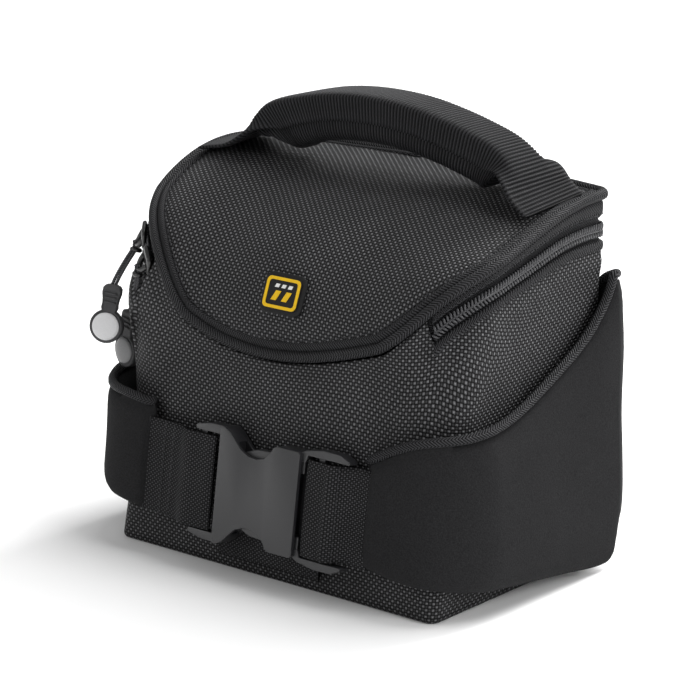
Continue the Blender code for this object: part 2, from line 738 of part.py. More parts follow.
def ribbon(name, path, heights, thickness, lean=0.0):
    """Webbing on edge along a path of (x, y) points, leaning so that its foot stands further forward."""
    rings = []
    for k, (x, y) in enumerate(path):
        before = path[max(k - 1, 0)]
        after = path[min(k + 1, len(path) - 1)]
        along = Vector((after[0] - before[0], after[1] - before[1])).normalized()
        side = Vector((-along.y, along.x)) * (thickness / 2)
        ring = []
        for sign, level in ((1, 0), (1, 1), (-1, 1), (-1, 0)):
            height = heights[level]
            splay = lean * (height - BUCKLE_AT[2])
            ring.append((x + side.x * sign, y + side.y * sign + splay, height))
        rings.append(ring)
    return loft(name, rings)


def build_straps():
    heights = (STRAP_BOTTOM, STRAP_BOTTOM + STRAP_HEIGHT)
    level = -BELT_FRONT - BELT_STAND_OFF - FRONT_SPLAY * (FRONT_SPLAY_TOP - BUCKLE_AT[2])
    at_wing = level - WING_THICKNESS / 2
    over_bar = BUCKLE_AT[1] - 0.0015 - GAP - STRAP_THICKNESS / 2 - 0.0002
    wing_end = belt_point(WING_END, BUCKLE_AT[2], 0).x - GAP
    free = wing_end - 0.868 * WEBBING
    path = [
        (wing_end, at_wing), (wing_end - 0.37 * free, at_wing - 0.0004), (wing_end - 0.87 * free, over_bar - 0.0006),
        (0.868 * WEBBING, over_bar), (0.711 * WEBBING, over_bar), (0.632 * WEBBING, over_bar + 0.0007),
    ]
    ribbon("strap_right", path, heights, STRAP_THICKNESS, FRONT_SPLAY)
    left_end = belt_point(WING_END - LEFT_SHORTER, BUCKLE_AT[2], 0).x - GAP
    free = left_end - 0.947 * WEBBING
    path = [
        (-left_end, at_wing), (0.28 * free - left_end, at_wing - 0.0004), (0.74 * free - left_end, at_wing - 0.0018),
        (-0.947 * WEBBING, over_bar - 0.0004), (-0.789 * WEBBING, over_bar), (-0.658 * WEBBING, over_bar),
        (-0.584 * WEBBING, over_bar + 0.0005),
    ]
    ribbon("strap_left", path, heights, STRAP_THICKNESS, FRONT_SPLAY)
    tail = BUCKLE_AT[1] + BUCKLE_HALF_THICKNESS + GAP + STRAP_THICKNESS / 2 + 0.0003
    path = [(share * WEBBING, tail) for share in (0.737, 0.289, -0.158, -0.605)]
    ribbon("strap_tail", path, TAIL_HEIGHTS, STRAP_THICKNESS, FRONT_SPLAY)
    half = BELT_HALF + BELT_STAND_OFF + SIDE_SPLAY * 0.05 + WING_THICKNESS / 2
    y = BASE_DEPTH / 2 + GAP + STRAP_THICKNESS / 2
    ribbon("belt_back", [(half, y), (0, y), (-half, y)], BACK_STRAP, STRAP_THICKNESS)


def buckle_matrix():
    forward = Vector((0, -1, FRONT_SPLAY)).normalized()
    right = Vector((1, 0, 0))
    up = forward.cross(right) * -1
    if up.z < 0:
        up = -up
    turn = Matrix((right, up, forward)).transposed().to_4x4()
    return Matrix.Translation(Vector(BUCKLE_AT)) @ turn


def plate(name, outline, low, high):
    """An outline in the buckle's own plane, in shares of the webbing, thickened between two depths."""
    place = buckle_matrix()
    rings = []
    for depth in (low, high):
        rings.append([place @ Vector((x * WEBBING, y * WEBBING, depth)) for x, y in outline])
    return loft(name, rings, soft=False)


def box(name, left, right, bottom, top, low, high):
    return plate(name, ((left, bottom), (right, bottom), (right, top), (left, top)), low, high)


def both_ways(outline):
    return list(outline) + [(x, -y) for x, y in reversed(outline)]


def build_buckle():
    thick = BUCKLE_HALF_THICKNESS
    arm = ARM_HALF_THICKNESS
    left, right = SLOT_LEFT
    # The housing: a plate with the two release notches, and two arms that hold a bar
    middle = [point for point in BUCKLE_OUTLINE if point[0] > -0.5]
    middle = [(right + 0.008, 0.592)] + middle
    housing = plate("buckle_housing", both_ways(middle), -thick, thick)
    rim = [point for point in BUCKLE_OUTLINE if point[0] < -0.45] + [(-0.316, 0.474), (-0.316, 0.395)]
    rim += [(right + 0.016, 0.395), (right + 0.016, 0.511)]
    for sign, word in ((1, "upper"), (-1, "lower")):
        side = [(x, y * sign) for x, y in rim]
        union(housing, plate(f"housing_arm_{word}", side, -arm, arm))
    union(housing, box("housing_bar", BAR_LEFT, left, -0.526, 0.526, -0.0015, 0.0015))
    near, half = CAVITY
    cut(housing, box("housing_cavity", near, 0.789, -half, half, -CAVITY_DEPTH, CAVITY_DEPTH))
    # The insert: a frame with a bar, and two prongs that fill the notches
    thin = arm - 0.0002
    deep = CAVITY_DEPTH - GAP
    base = plate("buckle_insert", both_ways([(0.534, 0.518), (0.587, 0.518)]), -thin, thin)
    for sign, word in ((1, "upper"), (-1, "lower")):
        side = [(x, y * sign) for x, y in INSERT_OUTLINE]
        union(base, plate(f"insert_arm_{word}", side, -arm, arm))
        prong = [(x, y * sign) for x, y in PRONG_OUTLINE]
        union(base, plate(f"insert_prong_{word}", prong, -deep, deep))
    union(base, box("insert_bar", 0.716, 0.795, -0.526, 0.526, -0.0015, 0.0015))
    union(base, box("insert_tongue", -0.158, 0.566, -0.066, 0.066, -deep, deep))


def rounded(half_width, half_height, radius, steps=4):
    points = []
    for corner, (sx, sy) in enumerate(((1, 1), (-1, 1), (-1, -1), (1, -1))):
        for k in range(steps + 1):
            angle = math.pi / 2 * (corner + k / steps)
            x = sx * (half_width - radius) + radius * math.cos(angle)
            points.append((x, sy * (half_height - radius) + radius * math.sin(angle)))
    return points


def build_badge():
    y, z = lid_middle(BADGE_SHARE)
    before = Vector(lid_middle(BADGE_SHARE - 0.05))
    after = Vector(lid_middle(BADGE_SHARE + 0.05))
    climb = (after - before).normalized()
    up = Vector((0, climb.x, climb.y))
    right = Vector((1, 0, 0))
    out = right.cross(up).normalized()
    centre = Vector((0, y, z)) + out * (GAP + 0.0003)
    width, height = BADGE_HALF
    shapes = (
        ("badge", rounded(width, height, BADGE_CORNER), 0.0, BADGE_THICKNESS),
        (
            "badge_face", rounded(width - BADGE_FACE_INSET, height - BADGE_FACE_INSET, BADGE_CORNER - 0.0014),
            BADGE_THICKNESS + GAP, BADGE_THICKNESS + GAP + BADGE_FACE_THICKNESS,
        ),
    )
    for name, outline, low, high in shapes:
        rings = []
        for depth in (low, high):
            rings.append([centre + right * a + up * b + out * depth for a, b in outline])
        loft(name, rings)


def build_mount():
    near = BASE_DEPTH / 2 + GAP + STRAP_THICKNESS + GAP
    rings = []
    for depth in (near, near + PLATE_THICKNESS):
        rings.append([(x, depth, PLATE_CENTRE + z) for x, z in rounded(*PLATE_HALF, 0.008)])
    loft("mount_plate", rings)


def main():
    clear_scene()
    build_body()
    build_lid()
    tube("lid_piping", edge_path(), PIPING_RADIUS, closed=True)
    build_zip()
    for number in (1, 2):
        build_pull(number, build_slider(number))
    build_handle()
    for left in (False, True):
        build_wing(left)
    build_straps()
    build_buckle()
    build_badge()
    build_mount()


main()
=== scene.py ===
"""Looks of a small handlebar bag: woven body and lid, zip, pulls, ribbed handle and a foam-winged belt."""

import math
from bisect import bisect

import bmesh
import bpy
import numpy as np
from mathutils import Matrix, Vector, noise


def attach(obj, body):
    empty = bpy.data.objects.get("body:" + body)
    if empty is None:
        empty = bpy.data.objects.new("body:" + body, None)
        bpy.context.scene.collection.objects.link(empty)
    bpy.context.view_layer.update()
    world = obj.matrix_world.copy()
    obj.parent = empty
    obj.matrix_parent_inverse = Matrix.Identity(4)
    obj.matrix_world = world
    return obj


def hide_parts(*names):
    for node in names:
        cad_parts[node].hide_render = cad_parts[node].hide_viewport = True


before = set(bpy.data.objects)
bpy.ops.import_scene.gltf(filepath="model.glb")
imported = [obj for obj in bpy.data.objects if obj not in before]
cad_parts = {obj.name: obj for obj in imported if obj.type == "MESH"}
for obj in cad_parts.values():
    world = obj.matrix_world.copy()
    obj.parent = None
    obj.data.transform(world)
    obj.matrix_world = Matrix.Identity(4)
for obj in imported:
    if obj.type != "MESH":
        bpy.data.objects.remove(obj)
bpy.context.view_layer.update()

# The bag's own sizes, as in its CAD source, in metres
BASE_WIDTH = 0.160
BASE_DEPTH = 0.100
SIDE_FLARE = 0.0035
FRONT_LEAN = 0.0065
SHOULDER_HEIGHT = 0.125
BASE_CORNER = 0.0045
SHOULDER_CORNER_WIDTH = 0.042
SHOULDER_CORNER_DEPTH = 0.030
BACK_CORNER = 0.004
BODY_WALL = 0.0022
GAP = 0.0003
LEFT_RISE = 0.0060
LEFT_BULGE = 0.0065
LEFT_ACROSS = (0.030, 0.045)
RISE_FROM = (0.095, 0.040)
BULGE_FROM = (0.030, 0.075)
LEFT_MIDDLE = -0.010
LEFT_REACH = 0.062
TONGUE_HEIGHT = 0.087
BACK_HEIGHT = 0.1465
BACK_CROWN = 0.003
PIPING_RADIUS = 0.0021
LID_MIDDLE = ((0.004, 0.520), (0.182, 0.984))
LID_SHY = (0.029, 0.012)
LID_ROWS = (
    (0, 0), (0.08, 0.06), (0.16, 0.16), (0.24, 0.28), (0.32, 0.42),
    (0.39, 0.58), (0.476, 0.755), (0.56, 0.86), (0.65, 0.92), (1, 1),
)
ZIP_START = 12
ZIP_FRONT = 10.9
ZIP_DROP_FRONT = 0.0095
ZIP_DROP_BACK = 0.0138
COIL_HALF = 0.0027
TAPE_SHOWING = 0.0021
SLIDER_SHARES = (0.368, 0.322)
SLIDER_THICKNESS = 0.0026
BAIL_OUT = 0.0026
BAIL_DROP = 0.0034
HANDLE_Y = 0.0215
HANDLE_HALF = 0.0160
HANDLE_REACH = 0.0795
HANDLE_FOOT = 0.1463
HANDLE_RISE = 0.0329
HANDLE_THICKNESS = 0.0018
HANDLE_TILT = 0.17
GRIP_HALF = 0.0105
GRIP_SIDE = 0.0090
HANDLE_PATH = (
    (-1, 0, 0), (-0.931, 0.033, 0), (-0.855, 0.088, 0), (-0.786, 0.219, 0.1),
    (-0.723, 0.447, 0.5), (-0.642, 0.660, 0.9), (-0.528, 0.812, 1), (-0.377, 0.927, 1),
    (-0.189, 0.988, 1), (0.013, 1, 1), (0.214, 0.964, 1), (0.403, 0.881, 1),
    (0.566, 0.781, 1), (0.704, 0.672, 0.9), (0.799, 0.538, 0.6), (0.862, 0.362, 0.2),
    (0.918, 0.161, 0), (1, 0, 0),
)
WEBBING = 0.038
BELT_HALF = 0.0835
BELT_FRONT = 0.0468
BELT_CORNER = 0.022
BELT_STAND_OFF = 0.0010
SIDE_SPLAY = 0.065
FRONT_SPLAY = 0.150
WING_THICKNESS = 0.0042
WING_END = 0.12146
LEFT_SHORTER = 0.0085
WING_HEIGHT = 0.1080
WING_TOP = (
    (0, 1), (0.033, 0.935), (0.148, 0.851), (0.305, 0.762), (0.510, 0.672),
    (0.683, 0.637), (0.823, 0.616), (0.922, 0.565), (1, 0.519),
)
WING_BOTTOM = (
    (0, 0.139), (0.025, 0.056), (0.082, 0.028), (0.288, 0.054), (0.477, 0.081),
    (0.683, 0.111), (0.798, 0.133), (0.905, 0.159), (1, 0.171),
)
LEFT_DROP = ((0, 0), (0.329, 0.019), (0.617, 0.069), (0.782, 0.069), (1, 0))
LEFT_OUT = ((0, 0.009), (0.165, 0.030), (0.412, 0.048), (0.617, 0.048), (0.782, 0.032), (0.930, 0))
LEFT_LIFT = ((0, 0), (0.412, 0.009), (0.658, 0.080), (0.823, 0.045), (0.930, 0))
BINDING_RADIUS = 0.0019
BUCKLE_AT = Vector((0.0010, -0.0548, 0.0360))
STRAP_THICKNESS = 0.0014
# Places round half the outline: where its front, its shoulder, its side, its back corner and its back end
FRONT_INDEX = 7
SIDE_INDEX = 16
BACK_INDEX = 23
REAR_INDEX = 26
LAST = 30
# The body's rounded foot, its floor, the step of its rim at the zip's ends, where the lid's rows start, and how
# the body's rim turns in: how deep, and how far down
FOOT = 0.0020
FLOOR_HEIGHT = 0.0032
ZIP_STEP = 0.35
RIM_BELOW_TAPE = 0.0006
LID_START = 0.08
RIM_PROFILE = ((0.0006, -0.0003), (0.0016, -0.0003), (0.0022, 0.0004), (0.0022, 0.012), (0.0022, 0.030))
WELD = 1e-6
LID_THICKNESS = 0.0022
# Where the slack cloth stands off its plain shape: its place round the outline, its half width there, how far
# it moves, and the depth below the lid's edge at which that has faded
SLACK = (
    (5.5, 4.5, (0, 0, 0.0040), 0.030),
    (12.2, 3.1, (0, 0, 0.0062), 0.045),
    (15.5, 2.2, (0, 0, 0.0029), 0.045),
    (-11.5, 4.5, (0.0065, 0, 0.0030), 0.030),
)
SLACK_FADE = 0.022
LEFT_SWELL = Vector((0.0036, 0.0008, 0))
# Pitches of the gathers under the zip, its teeth, the stitches and the handle's ribs
GATHER_PITCH = 0.013
TOOTH_PITCH = 0.00150
STITCH_PITCH = 0.0031
RIB_PITCH = 0.0016
# Where rows of stitches cross the straps
STRAP_SEAMS = ((0.0352, -0.0572), (0.0388, -0.0570), (-0.0452, -0.0560), (-0.0504, -0.0552), (-0.0600, -0.0540))
# The piping's flange in section: how far in from the edge, and how high
FLANGE = ((0.0016, 0.0002), (0.0024, 0.0012), (0.0034, 0.0015), (0.0044, 0.0012), (0.0052, 0.0004))
# The sliders and the tags' discs in section: how deep, and their size there
SLIDER_PROFILE = ((0.0003, 0.80), (0.0007, 1.0), (0.0019, 1.0), (0.0025, 0.86), (0.0026, 0.55), (0.0024, 0.1))
DISC_PROFILE = ((0.0010, 0.97), (0.0018, 1.0), (0.0021, 0.95), (0.0023, 0.80), (0.0024, 0.3))
# The pulls: the tags' sizes, their neck as (height, half width) and their section as (depth, size), both in mm,
# and the discs and cords
TAG_HALF = 0.0068
TAG_NECK = 0.0169
TAG_NECK_SHAPE = ((7.6, 3.3), (9.0, 3.1), (11.0, 3.3), (13.4, 3.8), (15.4, 3.7), (16.5, 2.9), (16.9, 1.5))
TAG_PROFILE = ((-1.7, 0.94), (-1.35, 1.0), (1.35, 1.0), (1.7, 0.94), (1.7, 0.86), (1.45, 0.84), (1.42, 0.5))
DISC_RADIUS = 0.0056
CORD_RADIUS = 0.00068
# Each pull, as in the CAD: its neck, its up and face ways, and how its cord leaves the bail
PULLS = (
    ((-0.0903, -0.0393, 0.1000), (0.088, 0.171, 0.981), (0.45, -0.88, 0.10), (-0.10, -0.05, -0.20)),
    ((-0.0882, -0.0322, 0.0885), (0.105, 0.023, 0.994), (-0.20, -0.98, 0.05), (0, 0.15, -0.30)),
)
# The buckle's insert, in widths of webbing: one arm, one prong, and two bars as start, end and half width, with
# their low and high faces in metres
INSERT_ARM = (
    (0.500, 0.529), (0.566, 0.563), (0.789, 0.600), (1.000, 0.595), (1.118, 0.545),
    (1.118, 0.511), (0.595, 0.511), (0.571, 0.440), (0.500, 0.440),
)
INSERT_PRONG = (
    (0.560, 0.316), (0.560, 0.453), (0.316, 0.458), (0.184, 0.463), (0.079, 0.453),
    (-0.079, 0.442), (-0.211, 0.395), (-0.276, 0.337), (-0.211, 0.311), (0, 0.326),
)
INSERT_BARS = ((0.500, 0.585, 0.518, -0.0024, -0.0004), (0.716, 0.795, 0.526, -0.0015, 0.0015))
# Slow uneven patches in every cloth, the soft boxes with their places, sizes and powers, and the camera
PATCH_SIZE = 0.018
WORLD_STRENGTH = 0.42
LIGHTS_AIM = Vector((0, 0, 0.09))
SOFTBOXES = (
    ("softbox_right", (1.3, 0.1, 0.7), 0.6, 9),
    ("softbox_back", (0.15, 1.1, 1.1), 0.5, 20),
    ("softbox_front", (-0.7, -1.3, 0.9), 0.7, 4.5),
)
CAMERA_AZIMUTH = math.radians(39.755)
CAMERA_ELEVATION = math.radians(15.542)
CAMERA_AT = (-0.00102, 0.07781, 1.18774)
CAMERA_LENS = 154.286


def ease(share):
    share = min(max(share, 0), 1)
    return share * share * (3 - 2 * share)


def swell(at, middle, width):
    """A smooth bump of height 1 at its middle."""
    return math.exp(-((at - middle) / width) ** 2)


def between(table, at):
    """The value of a table of (position, value) pairs, on a smooth line through them."""
    k = 1
    while k < len(table) - 1 and at > table[k][0]:
        k += 1
    (x0, y0), (x1, y1) = table[k - 1], table[k]
    before = table[max(k - 2, 0)]
    after = table[min(k + 1, len(table) - 1)]
    span = x1 - x0
    rise0 = (y1 - before[1]) / (x1 - before[0])
    rise1 = (after[1] - y0) / (after[0] - x0)
    t = min(max((at - x0) / span, 0), 1)
    bend = y0 * (1 + 2 * t) * (1 - t) ** 2 + y1 * t * t * (3 - 2 * t)
    return bend + span * (rise0 * t * (1 - t) ** 2 - rise1 * t * t * (1 - t))


def settle(point):
    """Where the soft bag holds a point: its lid stands a little higher on the left."""
    x, y, z = point
    weight = max(1 - ((y - LEFT_MIDDLE) / LEFT_REACH) ** 2, 0)
    weight *= ease((-x - LEFT_ACROSS[0]) / LEFT_ACROSS[1])
    rise = weight * ease((z - RISE_FROM[0]) / RISE_FROM[1])
    bulge = weight * ease((z - BULGE_FROM[0]) / BULGE_FROM[1])
    return Vector((x - LEFT_BULGE * bulge, y, z + LEFT_RISE * rise))


def plan(k, height, inset=0.0):
    """A point of the right half of the plan: k runs from 0, the front's middle, to 30, the back's middle."""
    rise = min(max(height / SHOULDER_HEIGHT, 0), 1)
    half = BASE_WIDTH / 2 + SIDE_FLARE * min(max(height / BACK_HEIGHT, 0), 1) - inset
    front = inset - BASE_DEPTH / 2 + FRONT_LEAN * min(max(height / TONGUE_HEIGHT, 0), 1)
    back = BASE_DEPTH / 2 - inset
    across = BASE_CORNER + (SHOULDER_CORNER_WIDTH - BASE_CORNER) * rise - inset
    along = BASE_CORNER + (SHOULDER_CORNER_DEPTH - BASE_CORNER) * rise - inset
    turn = BACK_CORNER - inset
    if k < FRONT_INDEX:
        return (half - across) * k / FRONT_INDEX, front
    if k < SIDE_INDEX:
        angle = math.pi / 2 * (k - FRONT_INDEX) / (SIDE_INDEX - FRONT_INDEX)
        return half - across + across * math.sin(angle), front + along - along * math.cos(angle)
    if k < BACK_INDEX:
        share = (k - SIDE_INDEX) / (BACK_INDEX - SIDE_INDEX)
        return half, front + along + (back - turn - front - along) * share
    if k < REAR_INDEX:
        angle = math.pi / 2 * (k - BACK_INDEX) / (REAR_INDEX - BACK_INDEX)
        return half - turn + turn * math.cos(angle), back - turn + turn * math.sin(angle)
    return (half - turn) * (LAST - k) / (LAST - REAR_INDEX), back


REACH = [0.0]
for place in range(LAST):
    ends = plan(place, SHOULDER_HEIGHT), plan(place + 1, SHOULDER_HEIGHT)
    REACH.append(REACH[-1] + math.dist(*ends))


def reach_at(k):
    low = min(int(k), LAST - 1)
    return REACH[low] + (REACH[low + 1] - REACH[low]) * (k - low)


def edge_height(k):
    """Height of the lid's edge."""
    k = abs(k)
    if k > BACK_INDEX:
        x = plan(k, BACK_HEIGHT)[0] / BELT_HALF
        return BACK_HEIGHT + BACK_CROWN * max(1 - x * x, 0)
    u = reach_at(k) / REACH[BACK_INDEX]
    smooth = (ease(u) + u * u * u * (10 - 15 * u + 6 * u * u)) / 2
    return TONGUE_HEIGHT + (BACK_HEIGHT - TONGUE_HEIGHT) * smooth


def coil_height(k):
    """Height of the middle of the zip."""
    k = abs(k)
    u = (reach_at(k) - REACH[ZIP_START]) / (REACH[BACK_INDEX] - REACH[ZIP_START])
    return edge_height(k) - ZIP_DROP_FRONT - (ZIP_DROP_BACK - ZIP_DROP_FRONT) * min(max(u, 0), 1)


def rim_height(k):
    """Height of the body's own top edge, which steps down where the zip starts."""
    start = ZIP_FRONT if k > 0 else ZIP_START
    high = edge_height(k) - PIPING_RADIUS - 3 * GAP
    low = coil_height(k) - COIL_HALF - TAPE_SHOWING - RIM_BELOW_TAPE
    return high + (low - high) * ease((abs(k) - start + ZIP_STEP) / ZIP_STEP)


def slouch(k, height):
    """How far the slack bag stands off its plain shape; a negative k is on the left."""
    below = edge_height(k) - height
    shift = Vector((0, 0, 0))
    for middle, width, move, depth in SLACK:
        if middle > 0 or k < 0:
            shift += Vector(move) * (swell(k, middle, width) * ease((depth - below) / SLACK_FADE))
    if k < 0:
        out = swell(k, -16.5, 4) * ease((below - 0.002) / 0.010) * ease((height - 0.045) / 0.040)
        shift -= LEFT_SWELL * out
    return shift


def skin(k, height, out=0.0):
    """A point on the bag's outline, settled: a negative k is on the left."""
    x, y = plan(abs(k), height, -out)
    return settle(Vector((math.copysign(x, k), y, height)) + slouch(k, height))


def lane(t):
    """The signed place round the outline of t, which runs from the right, round the back, to the left."""
    return t if t <= LAST else t - 2 * LAST


def run(t):
    """Length along the outline up to t."""
    return reach_at(t) if t <= LAST else 2 * REACH[LAST] - reach_at(2 * LAST - t)


def steps(start, end, count):
    return [start + (end - start) * k / count for k in range(count + 1)]


# Materials


def srgb(code):
    """A hex colour as linear values."""
    parts = [int(code[k:k + 2], 16) / 255 for k in (1, 3, 5)]
    return tuple(p / 12.92 if p < 0.04045 else ((p + 0.055) / 1.055) ** 2.4 for p in parts) + (1,)


def add(tree, kind, settings=(), inputs=()):
    """Adds a node with its settings, values and links."""
    made = tree.nodes.new(kind)
    for name, value in dict(settings).items():
        setattr(made, name, value)
    for name, value in dict(inputs).items():
        if isinstance(value, bpy.types.NodeSocket):
            tree.links.new(value, made.inputs[name])
        else:
            made.inputs[name].default_value = value
    return made


def ripple(tree, source, period):
    """A sine of a length, with its period in metres."""
    turned = add(tree, "ShaderNodeMath", {"operation": "MULTIPLY"}, {0: source, 1: 2 * math.pi / period})
    return add(tree, "ShaderNodeMath", {"operation": "SINE"}, {0: turned.outputs[0]}).outputs[0]


def cloth_axes(tree):
    """The two lengths of the piece's own UV map, in metres."""
    source = add(tree, "ShaderNodeUVMap", {"uv_map": "UVMap"})
    parts = add(tree, "ShaderNodeSeparateXYZ", (), {0: source.outputs[0]})
    return parts.outputs[0], parts.outputs[1]


def beads(tree, across, along, under):
    """Plain weave: raised warp threads in a chequer, with weft threads at a share of their height."""
    u, v = cloth_axes(tree)
    chequer = add(tree, "ShaderNodeMath", {"operation": "MULTIPLY"},
                  {0: ripple(tree, u, 2 * across), 1: ripple(tree, v, 2 * along)}).outputs[0]
    warp = add(tree, "ShaderNodeMath", {"operation": "MAXIMUM"}, {0: chequer, 1: 0.0}).outputs[0]
    warp = add(tree, "ShaderNodeMath", {"operation": "POWER"}, {0: warp, 1: 0.9}).outputs[0]
    weft = add(tree, "ShaderNodeMath", {"operation": "MULTIPLY"}, {0: chequer, 1: -under}).outputs[0]
    return add(tree, "ShaderNodeMath", {"operation": "MAXIMUM"}, {0: warp, 1: weft}).outputs[0]


def chevrons(tree, pitch, band):
    """Herringbone: slanting ribs that turn back at each band."""
    u, v = cloth_axes(tree)
    zigzag = add(tree, "ShaderNodeMath", {"operation": "PINGPONG"}, {0: v, 1: band}).outputs[0]
    slant = add(tree, "ShaderNodeMath", {"operation": "ADD"}, {0: u, 1: zigzag}).outputs[0]
    wave = ripple(tree, slant, pitch)
    return add(tree, "ShaderNodeMath", {"operation": "MULTIPLY_ADD"}, {0: wave, 1: 0.5, 2: 0.5}).outputs[0]


def ribs(tree, pitch, grain):
    """Grosgrain: ribs across the length, broken by finer threads along it."""
    u, v = cloth_axes(tree)
    wide = ripple(tree, u, pitch)
    fine = ripple(tree, v, grain)
    fine = add(tree, "ShaderNodeMath", {"operation": "MULTIPLY"}, {0: fine, 1: wide}).outputs[0]
    both = add(tree, "ShaderNodeMath", {"operation": "MULTIPLY_ADD"}, {0: fine, 1: 0.28, 2: wide}).outputs[0]
    return add(tree, "ShaderNodeMath", {"operation": "MULTIPLY_ADD"}, {0: both, 1: 0.4, 2: 0.5}).outputs[0]


def speckle(tree, grain, detail=2.0):
    """Fine irregular grain of a size in metres, from 0 to 1."""
    place = add(tree, "ShaderNodeTexCoord").outputs["Object"]
    made = add(tree, "ShaderNodeTexNoise", (), {"Vector": place, "Scale": 1 / grain, "Detail": detail})
    return made.outputs[0]


def finish_of(name, low, high, pattern, relief, roughness, specular=0.2, coat=0.0, patch=0.25):
    """A material from a height pattern: dark in its hollows and light on its tops, which on a weave is painted
    shade in the hollows and a painted highlight on the threads, and slowly uneven.
    """
    made = bpy.data.materials.new(name)
    made.use_nodes = True
    tree = made.node_tree
    surface = tree.nodes["Principled BSDF"].inputs
    level = pattern[0](tree, *pattern[1:])
    # Colour follows the height: on the weaves this paints shade into the hollows and a highlight onto the
    # threads; on a speckle it is a fine uneven grain
    tone = add(tree, "ShaderNodeMix", {"data_type": "RGBA"}, {"Factor": level, 6: srgb(low), 7: srgb(high)})
    uneven = add(tree, "ShaderNodeMapRange", (), {0: speckle(tree, PATCH_SIZE), 3: 1 - patch, 4: 1 + patch})
    tone = add(tree, "ShaderNodeVectorMath", {"operation": "SCALE"},
               {0: tone.outputs[2], "Scale": uneven.outputs[0]})
    rough = add(tree, "ShaderNodeMapRange", (), {0: level, 3: min(roughness + 0.15, 1), 4: roughness})
    bump = add(tree, "ShaderNodeBump", (), {"Strength": 1.0, "Distance": relief, "Height": level})
    tree.links.new(tone.outputs[0], surface["Base Color"])
    tree.links.new(rough.outputs[0], surface["Roughness"])
    tree.links.new(bump.outputs[0], surface["Normal"])
    surface["Specular IOR Level"].default_value = specular
    surface["Coat Weight"].default_value = coat
    return made


# Ballistic nylon, plain weave of thick filament yarn: bright beads over near-black gaps, the beads' brightness
# a painted highlight and the gaps' black painted shade
BALLISTIC = finish_of("ballistic_nylon_woven", "#000000", "#7c7c7e",
                      (beads, 0.00130, 0.00122, 0.22), 0.00080, 0.42, specular=0.08)
# Nylon binding tape woven in herringbone: close slanting ribs, drawn a little coarse so that they show, with
# painted highlight on the ribs and painted shade between them
HERRINGBONE = finish_of("nylon_tape_herringbone", "#010101", "#3e3e40",
                      (chevrons, 0.00125, 0.0021), 0.00030, 0.50, specular=0.10)
# Grosgrain handle webbing: round ribs across it every 1.6 mm, with painted highlight on their tops and painted
# shade between them
GROSGRAIN = finish_of("nylon_grosgrain_ribbed", "#000000", "#333335",
                      (ribs, 0.00160, 0.00110), 0.00030, 0.55, specular=0.12)
# Belt webbing: woven nylon that shows columns of small beads, with painted highlight on the beads and painted
# shade between them
WEBBED = finish_of("nylon_belt_webbing", "#000000", "#515153",
                      (beads, 0.00105, 0.00078, 0.30), 0.00030, 0.50, specular=0.08)
# Rubber foam with a brushed cloth face: a very fine matt nap
FOAM = finish_of("foam_brushed_face", "#121213", "#2a2a2b",
                      (speckle, 0.00055, 1.0), 0.00006, 0.82, specular=0.12, patch=0.12)
# Acetal side-release buckle, moulded with a spark-eroded satin face
ACETAL = finish_of("acetal_moulded_satin", "#1e1e1f", "#27272a",
                      (speckle, 0.0004, 1.0), 0.00002, 0.30, specular=0.6, patch=0.06)
# Nylon zip coil: smooth monofilament with a soft gloss, its colour lightened as a painted highlight on the
# teeth
COIL = finish_of("nylon_monofilament", "#202022", "#3c3c3f",
                      (speckle, 0.0009), 0.00002, 0.26, specular=0.5, patch=0.10)
# Die-cast zinc slider with a black enamel finish
ENAMEL = finish_of("zinc_black_enamel", "#050505", "#0c0c0d",
                      (speckle, 0.0008), 0.00002, 0.25, specular=0.5, coat=0.4, patch=0.10)
# Braided polyester cord: small slanting plaits, with painted highlight on the plaits and painted shade in their
# grooves
CORD = finish_of("polyester_cord_braided", "#1c1c1d", "#5c5c5f",
                      (chevrons, 0.00085, 0.0007), 0.00015, 0.50)
# Soft PVC rubber of the pull tags: matt, with a faint mould grain
RUBBER = finish_of("pvc_rubber_moulded", "#3c3c3d", "#484849",
                      (speckle, 0.0007), 0.00002, 0.55, patch=0.06)
# Reflective film disc: pale grey under a clear skin
FILM = finish_of("reflective_film", "#c6c6c7", "#d2d2d3",
                      (speckle, 0.0006), 0.000004, 0.35, coat=0.5, patch=0.03)
# The second disc's film, which faces away from the light: the same film, darker, with its shade painted in
FILM_PAINTED_SHADE = finish_of("reflective_film_painted_shade", "#585859", "#626263",
                      (speckle, 0.0006), 0.000004, 0.35, coat=0.5, patch=0.03)
# Black rubber of the badge's field: moulded, matt
BLACK_RUBBER = finish_of("black_rubber_moulded", "#121213", "#1c1c1d",
                      (speckle, 0.0007), 0.00002, 0.50, patch=0.08)
# Coloured rubber of the badge's raised design: moulded smooth
YELLOW = finish_of("yellow_rubber_moulded", "#d8ab10", "#e6bb1c",
                      (speckle, 0.0007), 0.00001, 0.45, patch=0.03)
WHITE = finish_of("white_rubber_moulded", "#d8d8d6", "#e4e4e2",
                      (speckle, 0.0007), 0.00001, 0.45, patch=0.03)
# Glass-filled nylon plate on the back, moulded with a coarse matt grain
PLATE = finish_of("filled_nylon_moulded", "#131314", "#1f1f20",
                      (speckle, 0.0006), 0.00003, 0.48, patch=0.08)
# Twisted polyester sewing thread
THREAD = finish_of("polyester_thread", "#161617", "#3e3e41",
                      (speckle, 0.0004), 0.00003, 0.50, patch=0.10)


# Making pieces


